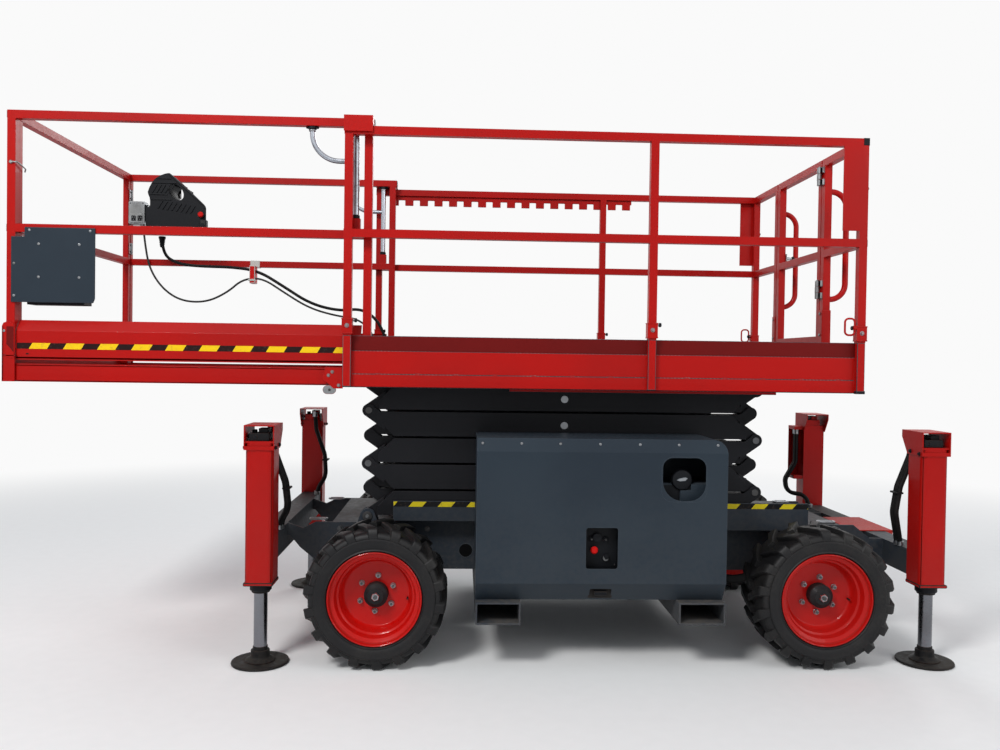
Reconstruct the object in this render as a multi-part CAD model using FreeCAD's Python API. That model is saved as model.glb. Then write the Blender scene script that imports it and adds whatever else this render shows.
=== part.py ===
import FreeCAD
import Part
import math
import os

os.makedirs("parts", exist_ok=True)

# Sizes in millimetres. +X points to the gate end, +Y away from the viewer, +Z up.
# The origin is on the ground under the middle of the whole machine.

V = FreeCAD.Vector
X_AXIS = V(1, 0, 0)
Y_AXIS = V(0, 1, 0)
Z_AXIS = V(0, 0, 1)
SIDES = (-1, 1)
END_X = 2240.0
SIDE_Y = 865.0
RUN_GAP = 0.3

# Wheels
TYRE_R = 330.0
TYRE_W = 300.0
TREAD_H = 22.0
TYRE_FACETS = 36
RIM_R = 227.0
RIM_BARREL_R = 204.0
RIM_WALL = 8.0
RIM_DISC_Y = 128.0
RIM_BOSS = 46.0
HUB_R = 56.0
NUT_CIRCLE_R = 82.0
NUT_COUNT = 6
FRONT_X = -520.0
REAR_X = 1574.0
WHEEL_Y = SIDE_Y - TYRE_W / 2
MOTOR_END = SIDE_Y - RIM_DISC_Y - RIM_BOSS - RUN_GAP

# Steering
KINGPIN_Y = 550.0
KINGPIN_R = 17.0
STEER_SWEEP = 64.0
STEER_ARM = 160.0
TIE_ROD_Z = 312.0

# Chassis
PLATE_Y = 390.0
PLATE_T = 12.0
CHASSIS_X0 = -780.0
CHASSIS_X1 = 1830.0
CHASSIS_BOTTOM = 362.0
TRACK_Z_BELOW_PIN = 45.5
GUARD_Y = 490.0
GUARD_T = 8.0
GUARD_TOP = 722.0
BEAM_Z0 = 468.0
BEAM_Z1 = 592.0
BEAM_W = 108.0
REAR_BEAM_Z0 = 406.0
REAR_BEAM_Z1 = 530.0
STEP_HALF = 200.0
STEP_T = 6.0

# Fork pockets: left edge and right edge along X
POCKETS = ((-60.0, 146.0), (876.0, 1092.0))
POCKET_Z0 = 218.0
POCKET_Z1 = 320.0
POCKET_WALL = 8.0

# Side cabinets
CAB_X0 = POCKETS[0][0] - 2
CAB_X1 = POCKETS[1][1]
CAB_Y_IN = 505.0
CAB_Z0 = POCKET_Z1
CAB_Z1 = 1070.0
CAB_WALL = 5.0
CAB_BEVEL = 22.0
CAB_BEVEL_H = 60.0
CAB_FOOT_H = 88.0
ENGINE_X0 = 120.0
ENGINE_L = 700.0
ENGINE_W = 260.0
ENGINE_TOP = 900.0

# Outriggers
PAD_R = 132.0
LEG_R = 31.0
LEG_X = (-1058.0, END_X - PAD_R)
LEG_Y = 725.0
POST_W = 128.0
POST_D = 130.0
POST_WALL = 6.0
POST_Z0 = 372.0
POST_Z1 = 1038.0
HOOD_TOP = 1112.0
LEG_TOP = 700.0

# Scissor stack
LEVELS = 5
FIX_X = -594.0
ROLL_X = 1350.0
BASE_Z = 643.0
LEVEL_H = 131.3
ARM_H = 120.0
ARM_W = 70.0
OUTER_Y = 440.0
INNER_Y = 355.0
EAR_R = 32.0
EAR_GAP = 50.0
TONGUE_HALF = 20.0
PIN_R = 17.0
CROSS_R = 25.0
ROLLER_R = 45.0

# Lift cylinder
CYL_FOOT = 0.88
CYL_EYE = 0.25
CYL_R = 62.0
ROD_R = 38.0

# Platform
MAIN_X0 = -688.0
MAIN_X1 = 1766.0
SKIRT_Y = 750.0
SKIRT_T = 12.0
SKIRT_Z0 = 1290.0
SKIRT_Z1 = 1530.0
SKIRT_STRIP_H = 70.0
SKIRT_STRIP_IN = 7.0
SKIRT_LIP = 6.0
SKIRT_LIP_W = 60.0
DECK_TOP = 1395.0
DECK_T = 15.0
DECK_INSET = 14.0
TUBE = 38.0
RAIL_Y = 757.0
TOP_RAIL_Z = 2472.0
MID_RAIL_Z = 2000.0
POST_XS = (-667.0, 750.0, 1744.0)
GATE_HALF = 322.0
HINGE_R = 12.0
HINGE_X = POST_XS[-1] - TUBE / 2 - HINGE_R - 0.5
HINGE_ZS = (MID_RAIL_Z - 185.0, TOP_RAIL_Z - 69.0)

# Extension deck
EXT_X0 = -END_X
EXT_X1 = -500.0
EXT_Y = 705.0
EXT_WALL_Y = 718.0
EXT_DECK_Z0 = 1401.0
EXT_DECK_Z1 = 1411.0
EXT_FLOOR_T = 3.0
EXT_LIP_Z = 1580.0
RAIL_GAP = 8.0
EXT_TOP_Z = TOP_RAIL_Z + TUBE + RAIL_GAP
EXT_POST_X = EXT_X0 + 16.0 + TUBE / 2
EXT_INNER_POST_X = -582.0
HANDLE_X = -845.0
LATCH_X = -640.0
LATCH_Z0 = MID_RAIL_Z + 75.0
BOX_X = -2020.0
BOX_Z = EXT_TOP_Z - 367.0
OUTLET_Z0 = MID_RAIL_Z + 228.0
PLATE_X0 = EXT_POST_X + 4.0
PLATE_X1 = -1824.0
PLATE_Z0 = MID_RAIL_Z - 340.0
DOCUMENT_X0 = PLATE_X0 + 51.0
DOCUMENT_X1 = PLATE_X1 - 66.0
DOCUMENT_D = 86.0


def box(x0, x1, y0, y1, z0, z1):
    """Box between two corners given as low and high values on each axis."""
    return Part.makeBox(x1 - x0, y1 - y0, z1 - z0, V(x0, y0, z0))


def cyl(x, y, z, radius, length, axis):
    """Cylinder from a start point along an axis."""
    return Part.makeCylinder(radius, length, V(x, y, z), axis)


def bar_y(x, z, radius, y0, y1):
    """Round bar along Y between two Y values."""
    return cyl(x, y0, z, radius, y1 - y0, Y_AXIS)


def prism_xz(points, y0, y1):
    """Outline in the X-Z plane pushed from y0 to y1."""
    wire = Part.makePolygon([V(x, y0, z) for x, z in points] + [V(points[0][0], y0, points[0][1])])
    return Part.Face(wire).extrude(V(0, y1 - y0, 0))


def prism_yz(points, x0, x1):
    """Outline in the Y-Z plane pushed from x0 to x1."""
    wire = Part.makePolygon([V(x0, y, z) for y, z in points] + [V(x0, points[0][0], points[0][1])])
    return Part.Face(wire).extrude(V(x1 - x0, 0, 0))


def prism_xy(points, z0, z1):
    """Outline in the X-Y plane pushed from z0 to z1."""
    wire = Part.makePolygon([V(x, y, z0) for x, y in points] + [V(points[0][0], points[0][1], z0)])
    return Part.Face(wire).extrude(V(0, 0, z1 - z0))


def fuse(shapes):
    """One shape from several that touch."""
    result = shapes[0]
    if len(shapes) > 1:
        result = result.fuse(shapes[1:])
    return result.removeSplitter()


def mirror_y(shape):
    """The same shape on the other side of the machine."""
    return shape.mirror(V(0, 0, 0), Y_AXIS)


def both_sides(shape):
    """A shape and its mirror copy as two solids."""
    return [shape, mirror_y(shape)]


def square_tube(p0, p1, size=TUBE):
    """Square bar between two points that differ along one axis only."""
    half = size / 2
    low = [min(a, b) for a, b in zip(p0, p1)]
    high = [max(a, b) for a, b in zip(p0, p1)]
    for i in range(3):
        if high[i] - low[i] < 0.001:
            low[i] -= half
            high[i] += half
    return box(low[0], high[0], low[1], high[1], low[2], high[2])


def route_wire(points, bend):
    """Wire of straight runs with tangent arcs, and the smallest arc radius."""
    edges = []
    radii = []
    start = points[0]
    for before, corner, after in zip(points, points[1:], points[2:]):
        to_before = before.sub(corner)
        to_after = after.sub(corner)
        half_turn = (math.pi - to_before.getAngle(to_after)) / 2
        reach = bend * min(to_before.Length, to_after.Length)
        radius = reach / math.tan(half_turn)
        into = corner.add(V(to_before).normalize().multiply(reach))
        out = corner.add(V(to_after).normalize().multiply(reach))
        inward = V(to_before).normalize().add(V(to_after).normalize()).normalize()
        centre = corner.add(inward.multiply(radius / math.cos(half_turn)))
        middle = centre.add(corner.sub(centre).normalize().multiply(radius))
        edges.append(Part.makeLine(start, into))
        edges.append(Part.Arc(into, middle, out).toShape())
        radii.append(radius)
        start = out
    edges.append(Part.makeLine(start, points[-1]))
    return Part.Wire(edges), min(radii) if radii else 0.0


def round_tube(points, radius, bend=0.45):
    """Round bar along a route of straight runs with tangent arcs."""
    wire, smallest = route_wire(points, bend)
    direction = points[1].sub(points[0])
    profile = Part.Wire(Part.makeCircle(radius, points[0], direction))
    solid = wire.makePipeShell([profile], True, False)
    wanted = wire.Length * math.pi * radius ** 2
    print("tube", round(radius, 1), "smallest bend", round(smallest, 1), "volume ratio", round(solid.Volume / wanted, 3))
    return solid


def save(name, shape):
    """Write one node's STEP file."""
    if isinstance(shape, list):
        shape = shape[0] if len(shape) == 1 else Part.makeCompound(shape)
    solids = shape.Solids
    if not shape.isValid() or not solids:
        print("CHECK", name, "valid", shape.isValid(), "solids", len(solids))
    shape.exportStep("parts/" + name + ".step")
    box_ = shape.BoundBox
    print(
        name,
        len(solids),
        [round(v) for v in (box_.XMin, box_.XMax, box_.YMin, box_.YMax, box_.ZMin, box_.ZMax)],
    )


# Wheels

def ring(y, radius):
    """Corners of a regular polygon about the wheel's own axis."""
    points = []
    for i in range(TYRE_FACETS):
        angle = math.radians(360.0 / TYRE_FACETS * (i + 0.5))
        points.append(V(radius * math.sin(angle), y, radius * math.cos(angle)))
    return points


def faceted_ring(section):
    """Flat-faced ring with a closed section given as places along the axle and radii."""
    rings = [ring(y, radius) for y, radius in section]
    faces = []
    for near, far in zip(rings, rings[1:] + rings[:1]):
        for i in range(TYRE_FACETS):
            j = (i + 1) % TYRE_FACETS
            faces.append(Part.Face(Part.makePolygon([near[i], near[j], far[j], far[i], near[i]])))
    return Part.makeSolid(Part.makeShell(faces))


def tyre():
    """Faceted carcass with blocks along both shoulders, about the wheel's own axis."""
    base_r = TYRE_R - TREAD_H
    half = TYRE_W / 2
    carcass = faceted_ring((
        (-half + 20, RIM_R + 4),
        (-half, RIM_R + 35),
        (-half + 36, base_r),
        (half - 36, base_r),
        (half, RIM_R + 35),
        (half - 20, RIM_R + 4),
        (half - 20, RIM_R + 1),
        (half - 27, RIM_BARREL_R + 1.2),
        (-half + 27, RIM_BARREL_R + 1.2),
        (-half + 20, RIM_R + 1),
    ))
    facet_w = 2 * base_r * math.sin(math.pi / TYRE_FACETS)
    flat_r = base_r * math.cos(math.pi / TYRE_FACETS)
    top_half = facet_w * 0.4
    top_z = math.sqrt(TYRE_R ** 2 - top_half ** 2)
    blocks = []
    for row in SIDES:
        low, high = sorted((0.0, row * (half - 16)))
        block = prism_xz((
            (-facet_w / 2, flat_r),
            (-top_half, top_z),
            (top_half, top_z),
            (facet_w / 2, flat_r),
            (0.0, flat_r - 20),
        ), low, high)
        for i in range(0, TYRE_FACETS, 2):
            turned = block.copy()
            turned.rotate(V(0, 0, 0), Y_AXIS, 360.0 / TYRE_FACETS * (i + (row + 1) / 2))
            blocks.append(turned)
    return fuse([carcass] + blocks)


def rim():
    """Deep dished rim with hub, nuts and spindle boss; -Y is the outer face."""
    half = TYRE_W / 2
    inner = RIM_BARREL_R - RIM_WALL
    disc = -half + RIM_DISC_Y
    outline = (
        (0.0, disc + RIM_BOSS),
        (0.0, -half + 62),
        (34.0, -half + 62),
        (HUB_R, -half + 84),
        (HUB_R, disc),
        (inner - 40, disc),
        (inner - 14, disc - 24),
        (inner + 2, -half + 24),
        (RIM_R - 5, -half + 8),
        (RIM_R, -half + 8),
        (RIM_R, -half + 20),
        (RIM_BARREL_R, -half + 26),
        (RIM_BARREL_R, half - 26),
        (RIM_R, half - 20),
        (RIM_R, half - 12),
        (inner, half - 12),
        (inner, disc + 12),
        (HUB_R + 20, disc + 12),
        (HUB_R, disc + RIM_BOSS),
    )
    wire = Part.makePolygon([V(r, y, 0) for r, y in outline] + [V(outline[0][0], outline[0][1], 0)])
    body = Part.Face(wire).revolve(V(0, 0, 0), Y_AXIS, 360)
    nuts = []
    for i in range(NUT_COUNT):
        angle = math.radians(60 * i + 30)
        x = NUT_CIRCLE_R * math.cos(angle)
        z = NUT_CIRCLE_R * math.sin(angle)
        points = [
            (x + 13 * math.cos(math.radians(60 * k)), z + 13 * math.sin(math.radians(60 * k)))
            for k in range(6)
        ]
        nuts.append(prism_xz(points, disc - 16, disc + 1))
    return fuse([body] + nuts)


WHEELS = (
    ("front_near", FRONT_X, -1),
    ("front_far", FRONT_X, 1),
    ("rear_near", REAR_X, -1),
    ("rear_far", REAR_X, 1),
)

TYRE_SHAPE = tyre()
RIM_SHAPE = rim()
for wheel_name, wheel_x, side in WHEELS:
    for part_name, shape in (("tyre", TYRE_SHAPE), ("rim", RIM_SHAPE)):
        placed = shape.copy() if side < 0 else mirror_y(shape)
        placed.translate(V(wheel_x, side * WHEEL_Y, TYRE_R))
        save(part_name + "_" + wheel_name, placed)


# Axles and steering

KNUCKLE_Z0 = 266.0
KNUCKLE_Z1 = 394.0
YOKE_T = 20.0


def front_axle():
    """Beam under the frame with a yoke at each end for the kingpins."""
    inboard = KINGPIN_Y - STEER_SWEEP
    beam = box(FRONT_X - 60, FRONT_X + 60, -inboard + 6, inboard - 6, 262, CHASSIS_BOTTOM)
    pieces = [beam]
    for side in SIDES:
        low, high = sorted((side * 430, side * inboard))
        pieces.append(box(FRONT_X - 50, FRONT_X + 50, low, high, 240, 420))
        for z in (KNUCKLE_Z0 - 2 - YOKE_T, KNUCKLE_Z1 + 2):
            low, high = sorted((side * (inboard - 2), side * KINGPIN_Y))
            pieces.append(box(FRONT_X - 38, FRONT_X + 38, low, high, z, z + YOKE_T))
            pieces.append(cyl(FRONT_X, side * KINGPIN_Y, z, 38, YOKE_T, Z_AXIS))
    shape = fuse(pieces)
    holes = [
        cyl(FRONT_X, side * KINGPIN_Y, 200, KINGPIN_R + RUN_GAP, 260, Z_AXIS)
        for side in SIDES
    ]
    return shape.cut(Part.makeCompound(holes))


def knuckle(side):
    """Upright with kingpin, wheel motor and steering arm."""
    pin = cyl(FRONT_X, side * KINGPIN_Y, KNUCKLE_Z0 - 2 - YOKE_T - 6, KINGPIN_R, 180, Z_AXIS)
    low, high = sorted((side * 512, side * 600))
    block = box(FRONT_X - 42, FRONT_X + 42, low, high, KNUCKLE_Z0, KNUCKLE_Z1)
    low, high = sorted((side * 598, side * MOTOR_END))
    motor = bar_y(FRONT_X, TYRE_R, 70, low, high)
    low, high = sorted((side * 520, side * 548))
    arm = box(FRONT_X + 40, FRONT_X + STEER_ARM - 14, low, high, TIE_ROD_Z + 14, TIE_ROD_Z + 32)
    eye = cyl(FRONT_X + STEER_ARM, side * KINGPIN_Y, TIE_ROD_Z + 14, 22, 18, Z_AXIS)
    link = box(FRONT_X + STEER_ARM - 22, FRONT_X + STEER_ARM + 10, side * KINGPIN_Y - 18,
               side * KINGPIN_Y + 18, TIE_ROD_Z + 14, TIE_ROD_Z + 32)
    return fuse([pin, block, motor, arm, link, eye])


def tie_rod():
    """Rod between the two steering arms, with an eye under each."""
    x = FRONT_X + STEER_ARM
    rod = bar_y(x, TIE_ROD_Z - 4, 14, -KINGPIN_Y + 6, KINGPIN_Y - 6)
    eyes = [cyl(x, side * KINGPIN_Y, TIE_ROD_Z - 20, 20, 34 - RUN_GAP, Z_AXIS) for side in SIDES]
    return fuse([rod] + eyes)


def rear_axle():
    """Fixed beam with a wheel motor at each end."""
    beam = box(REAR_X - 60, REAR_X + 60, -520, 520, 270, CHASSIS_BOTTOM)
    pieces = [beam]
    for side in SIDES:
        low, high = sorted((side * 518, side * 590))
        pieces.append(box(REAR_X - 75, REAR_X + 75, low, high, 250, 410))
        low, high = sorted((side * 588, side * MOTOR_END))
        pieces.append(bar_y(REAR_X, TYRE_R, 70, low, high))
    return fuse(pieces)


save("front_axle", front_axle())
save("rear_axle", rear_axle())
save("knuckle_near", knuckle(-1))
save("knuckle_far", knuckle(1))
save("tie_rod", tie_rod())


# Chassis frame

TRACK_Z = BASE_Z - TRACK_Z_BELOW_PIN
SHELF_Z = TRACK_Z + 38.5


def chassis_frame():
    """Closed box frame with end pods, outrigger beams, arm pivots and side guards."""
    side_outline = (
        (CHASSIS_X0, CHASSIS_BOTTOM),
        (CHASSIS_X1, CHASSIS_BOTTOM),
        (1940, REAR_BEAM_Z0),
        (2115, REAR_BEAM_Z0),
        (2115, REAR_BEAM_Z1),
        (1985, REAR_BEAM_Z1),
        (1900, TRACK_Z),
        (-20, TRACK_Z),
        (-20, SHELF_Z),
        (-467, SHELF_Z),
        (-467, TRACK_Z),
        (-860, TRACK_Z),
        (-925, 566),
        (-1000, 592),
        (-1090, 592),
        (-1090, 540),
        (-990, 530),
        (-940, 470),
        (-880, 420),
    )
    pieces = []
    for side in SIDES:
        low, high = sorted((side * PLATE_Y, side * (PLATE_Y - PLATE_T)))
        pieces.append(prism_xz(side_outline, low, high))
        low, high = sorted((side * (GUARD_Y - GUARD_T), side * GUARD_Y))
        pieces.append(box(-467, 1620, low, high, SHELF_Z + 9, GUARD_TOP))
        pieces.append(box(-20, 1620, low, high, TRACK_Z - 12, SHELF_Z + 14))
        low, high = sorted((side * (PLATE_Y - PLATE_T), side * GUARD_Y))
        pieces.append(box(-20, 1620, low, high, TRACK_Z - 12, TRACK_Z))
        pieces.append(box(-467, -19, low, high, SHELF_Z - 12, SHELF_Z))
        low, high = sorted((side * (GUARD_Y - GUARD_T), side * GUARD_Y))
        pieces.append(box(-467, -19, low, high, SHELF_Z - 6, SHELF_Z + 14))
        # pivot plates of the outer arms
        for y0, y1 in ((OUTER_Y - 38, OUTER_Y - 21.5), (OUTER_Y + 21.5, OUTER_Y + 36.5)):
            low, high = sorted((side * y0, side * y1))
            plate = prism_xz(((FIX_X - 60, TRACK_Z - 12), (FIX_X + 60, TRACK_Z - 12),
                              (FIX_X + 36, BASE_Z + 10), (FIX_X - 36, BASE_Z + 10)), low, high)
            pieces.append(fuse([plate, bar_y(FIX_X, BASE_Z, 38, low, high)]))
        low, high = sorted((side * (PLATE_Y - 4), side * (OUTER_Y + 36.5)))
        pieces.append(box(FIX_X - 60, FIX_X + 60, low, high, TRACK_Z - 12, TRACK_Z))
        low, high = sorted((side * (OUTER_Y - 38), side * (OUTER_Y + 36.5)))
        pieces.append(bar_y(FIX_X, BASE_Z, PIN_R, low, high))
    inner = PLATE_Y - PLATE_T
    pieces.append(box(CHASSIS_X0, CHASSIS_X1, -inner, inner, TRACK_Z - 12, TRACK_Z))
    pieces.append(box(CHASSIS_X0, CHASSIS_X1, -inner, inner, CHASSIS_BOTTOM, CHASSIS_BOTTOM + 10))
    for x in (CHASSIS_X0, FRONT_X + 200, 500, REAR_X - 250, CHASSIS_X1 - 12):
        pieces.append(box(x, x + 12, -inner, inner, CHASSIS_BOTTOM + 10, TRACK_Z - 12))
    reach = LEG_Y - POST_D / 2
    for x, z0, z1 in zip(LEG_X, (BEAM_Z0, REAR_BEAM_Z0), (BEAM_Z1, REAR_BEAM_Z1)):
        pieces.append(box(x - BEAM_W / 2, x + BEAM_W / 2, -reach, reach, z0, z1))
    return fuse(pieces)


save("chassis_frame", chassis_frame())


def fork_pockets():
    """Two rectangular tubes across the machine, hung from the frame."""
    pieces = []
    for x0, x1 in POCKETS:
        outer = box(x0, x1, -SIDE_Y, SIDE_Y, POCKET_Z0, POCKET_Z1)
        hole = box(x0 + POCKET_WALL, x1 - POCKET_WALL, -SIDE_Y - 1, SIDE_Y + 1,
                   POCKET_Z0 + POCKET_WALL, POCKET_Z1 - POCKET_WALL)
        tube = outer.cut(hole)
        hangers = [
            box(x0 + 20, x1 - 20, min(side * 300, side * 312), max(side * 300, side * 312),
                POCKET_Z1 - 1, CHASSIS_BOTTOM)
            for side in SIDES
        ]
        pieces.append(fuse([tube] + hangers))
    return pieces


save("fork_pockets", fork_pockets())


def cabinet_shell():
    """Hollow cabinet on the near side, without its openings."""
    def outline(inset):
        y_out = -SIDE_Y + inset
        y_in = -CAB_Y_IN - inset
        z0 = CAB_Z0 + inset
        z1 = CAB_Z1 - inset
        cut = inset * 0.4
        return (
            (y_in, z0),
            (y_out + 60, z0),
            (y_out, z0 + CAB_FOOT_H),
            (y_out, z1 - CAB_BEVEL_H + cut),
            (y_out + CAB_BEVEL - cut, z1),
            (y_in, z1),
        )
    solid = prism_yz(outline(0.0), CAB_X0, CAB_X1)
    corner = box(CAB_X1 - 60, CAB_X1 + 1, -SIDE_Y - 1, -CAB_Y_IN + 1, CAB_Z1 - 60, CAB_Z1 + 1)
    corner = corner.cut(bar_y(CAB_X1 - 60, CAB_Z1 - 60, 60, -SIDE_Y - 2, -CAB_Y_IN + 2))
    hollow = prism_yz(outline(CAB_WALL), CAB_X0 + CAB_WALL, CAB_X1 - CAB_WALL)
    inner_corner = box(CAB_X1 - 66, CAB_X1, -SIDE_Y - 1, -CAB_Y_IN + 1, CAB_Z1 - 66, CAB_Z1)
    inner_corner = inner_corner.cut(bar_y(CAB_X1 - 66, CAB_Z1 - 66, 60, -SIDE_Y - 2, -CAB_Y_IN + 2))
    return solid.cut(corner).cut(hollow.cut(inner_corner))


def rounded_slot(x0, x1, z0, z1, radius, y0, y1):
    """Cutting shape with rounded corners, pushed along Y."""
    flat = box(x0, x1, y0, y1, z0 + radius, z1 - radius)
    tall = box(x0 + radius, x1 - radius, y0, y1, z0, z1)
    corners = [
        bar_y(x, z, radius, y0, y1)
        for x in (x0 + radius, x1 - radius)
        for z in (z0 + radius, z1 - radius)
    ]
    return fuse([flat, tall] + corners)


CAB_PORT = (786.0, 994.0, 786.0, 992.0)
CONTROL_PORT = (441.0, 588.0, 476.0, 665.0)
LATCH_SLOT = (464.0, 566.0, 336.0, 380.0)


def control_cabinet():
    """Near cabinet with a round-cornered port, a control window and a latch slot."""
    shell = cabinet_shell()
    reach = (-SIDE_Y - 1, -SIDE_Y + 90)
    cuts = [
        rounded_slot(*CAB_PORT, 50, *reach),
        rounded_slot(*CONTROL_PORT, 12, *reach),
        rounded_slot(*LATCH_SLOT, 8, *reach),
    ]
    return shell.cut(Part.makeCompound(cuts))


def engine_cabinet():
    """Far cabinet with rows of air slots."""
    shell = mirror_y(cabinet_shell())
    cuts = []
    for x in (60.0, 700.0):
        for i in range(5):
            z = 560 + 70 * i
            cuts.append(box(x, x + 260, SIDE_Y - 20, SIDE_Y + 1, z, z + 26))
    return shell.cut(Part.makeCompound(cuts))


save("control_cabinet", control_cabinet())
save("engine_cabinet", engine_cabinet())
engine_y0 = CAB_Y_IN + CAB_WALL + 30
save("engine_block", box(ENGINE_X0, ENGINE_X0 + ENGINE_L, engine_y0, engine_y0 + ENGINE_W,
                         CAB_Z0 + CAB_WALL, ENGINE_TOP))
save("base_controls", fuse([
    box(420, 610, -792, -780, 440, 690),
    box(430, 600, -781, -CAB_Y_IN - CAB_WALL, 470, 660),
    bar_y(500, 610, 20, -815, -791),
    bar_y(545, 520, 12, -812, -791),
]))


def rear_step():
    """Tread plate on the rear outrigger beam, with turned-down edges."""
    x0 = LEG_X[1] - 125
    x1 = LEG_X[1] + 95
    top = REAR_BEAM_Z1 + STEP_T
    pieces = [box(x0, x1, -STEP_HALF, STEP_HALF, REAR_BEAM_Z1, top)]
    for y in (-STEP_HALF, STEP_HALF - STEP_T):
        pieces.append(box(LEG_X[1] + BEAM_W / 2 + 1, x1, y, y + STEP_T, top - 40, top))
    pieces.append(box(x1 - STEP_T, x1, -STEP_HALF, STEP_HALF, top - 40, top))
    return fuse(pieces)


save("rear_step", rear_step())


# Outriggers

def outrigger_post(x, side):
    """Hollow post with a foot collar, a flared hood and a valve block on top."""
    y_out = LEG_Y + POST_D / 2
    y_in = LEG_Y - POST_D / 2
    half = POST_W / 2
    outer = box(x - half, x + half, y_in, y_out, POST_Z0, POST_Z1)
    edges = [
        e for e in outer.Edges
        if abs(e.Vertexes[0].Z - e.Vertexes[1].Z) > 100 and e.Vertexes[0].Y > LEG_Y
    ]
    outer = outer.makeFillet(24, edges)
    bore = box(x - half + POST_WALL, x + half - POST_WALL, y_in + POST_WALL, y_out - POST_WALL,
               POST_Z0 + 14, POST_Z1 + 1)
    shell = outer.cut(bore).cut(cyl(x, LEG_Y, POST_Z0 - 1, LEG_R + RUN_GAP, 40, Z_AXIS))
    hood_outline = (
        (y_in - 6, POST_Z1 - 40),
        (y_in - 60, POST_Z1 + 40),
        (y_in - 60, HOOD_TOP),
        (y_out + 6, HOOD_TOP),
        (y_out + 6, POST_Z1 - 40),
    )
    cheeks = []
    for x0 in (x - half - 5, x + half):
        cheeks.append(prism_yz(hood_outline, x0, x0 + 5))
    roof = box(x - half - 5, x + half + 5, y_in - 60, y_out + 6, HOOD_TOP - 5, HOOD_TOP)
    lip = box(x - half - 5, x + half + 5, y_out + 1, y_out + 6, POST_Z1 - 40, POST_Z1 - 22)
    bridge = box(x - half - 5, x + half + 5, y_out - 2, y_out + 2, POST_Z1 - 40, POST_Z1 - 24)
    floor = box(x - half, x + half, y_in, y_out, POST_Z1 - 8, POST_Z1)
    valve = fuse([
        box(x - 48, x + 40, LEG_Y - 60, LEG_Y + 40, POST_Z1, POST_Z1 + 34),
        box(x - 6, x + 30, LEG_Y - 40, LEG_Y + 24, POST_Z1 + 33, POST_Z1 + 56),
    ])
    shape = fuse([shell, roof, lip, bridge, floor, valve] + cheeks)
    return shape if side > 0 else mirror_y(shape)


def outrigger_leg(x, side):
    """Chromed rod with a round pad that stands on the ground."""
    y = side * LEG_Y
    pad = cyl(x, y, 0, PAD_R, 14, Z_AXIS)
    cup = Part.makeCone(70, 44, 22, V(x, y, 14), Z_AXIS)
    rod = cyl(x, y, 30, LEG_R, LEG_TOP - 30, Z_AXIS)
    return fuse([pad, cup, rod])


LEG_NAMES = ("front", "rear")
posts = []
for x, end in zip(LEG_X, LEG_NAMES):
    for side, side_name in ((-1, "near"), (1, "far")):
        posts.append(outrigger_post(x, side))
        save("leg_" + end + "_" + side_name, outrigger_leg(x, side))
save("outrigger_posts", posts)


# Scissor arms

def pin_z(level_line):
    """Height of the pins on a line between two levels."""
    return BASE_Z + LEVEL_H * level_line


def arm(level, plane_y, rising):
    """One side's arm of a pair: bar, tongue at its lower pin and fork at its upper pin."""
    z0 = pin_z(level - 1)
    z1 = pin_z(level)
    mid = (z0 + z1) / 2
    low_x, high_x = (FIX_X, ROLL_X) if rising else (ROLL_X, FIX_X)
    inward = 1 if rising else -1
    half = ARM_H / 2
    a = low_x + inward * EAR_GAP
    b = high_x - inward * EAR_GAP
    taper = 75 * inward
    bar = prism_xz((
        (a, mid - half),
        (a, mid - 16),
        (a + taper, mid + half),
        (b, mid + half),
        (b, mid + 16),
        (b - taper, mid - half),
    ), plane_y - ARM_W / 2, plane_y + ARM_W / 2)
    pieces = [bar]

    def eared(x, z, toward, lift, y0, y1):
        """Plate from the bar's end to a round end about the pin."""
        reach = toward * (EAR_GAP + 30)
        plate = prism_xz((
            (x - toward * 18, z + lift * 26),
            (x + reach, z + lift * 95),
            (x + reach, z + lift * 22),
            (x + toward * 4, z - lift * (EAR_R - 0.5)),
            (x - toward * 20, z - lift * 20),
        ), y0, y1)
        return fuse([plate, bar_y(x, z, EAR_R, y0, y1)])

    tongue = eared(low_x, z0, inward, 1, plane_y - TONGUE_HALF, plane_y + TONGUE_HALF)
    pieces.append(tongue)
    for y0, y1 in (
        (plane_y - ARM_W / 2, plane_y - TONGUE_HALF - 1.5),
        (plane_y + TONGUE_HALF + 1.5, plane_y + ARM_W / 2),
    ):
        pieces.append(eared(high_x, z1, -inward, -1, y0, y1))
    return fuse(pieces)


def arm_pair(level, plane_y, rising, inner):
    """Both sides' arms with the cross tube on their upper pins."""
    pieces = [arm(level, plane_y, rising)]
    low_x, high_x = (FIX_X, ROLL_X) if rising else (ROLL_X, FIX_X)
    mid_x = (FIX_X + ROLL_X) / 2
    mid_z = (pin_z(level - 1) + pin_z(level)) / 2
    shape = pieces[0]
    # hole of the lower pin, for the pin that the arm below or the frame carries
    if level > 1 or not inner:
        shape = shape.cut(bar_y(low_x, pin_z(level - 1), PIN_R + RUN_GAP, plane_y - 60, plane_y + 60))
    if not inner:
        shape = shape.cut(bar_y(mid_x, mid_z, CROSS_R + RUN_GAP, plane_y - 60, plane_y + 60))
    sides = both_sides(shape)
    tubes = []
    tubes.append(bar_y(high_x, pin_z(level), PIN_R, -plane_y - ARM_W / 2, plane_y + ARM_W / 2))
    if inner:
        reach = OUTER_Y + ARM_W / 2
        for side in SIDES:
            low, high = sorted((side * (INNER_Y - 10), side * reach))
            tubes.append(bar_y(mid_x, mid_z, CROSS_R, low, high))
    return sides, tubes


def roller_pair(x, z, plane_y):
    """Rollers between fork plates, one each side."""
    return [
        bar_y(x, z, ROLLER_R, side * plane_y - TONGUE_HALF + 1, side * plane_y + TONGUE_HALF - 1)
        for side in SIDES
    ]


SPAN = ROLL_X - FIX_X


def on_inner_one(share):
    """Point on the lowest inner arms' pin line at a share of the span from the fixed end."""
    return FIX_X + SPAN * share, BASE_Z + LEVEL_H * (1 - share)


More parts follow.
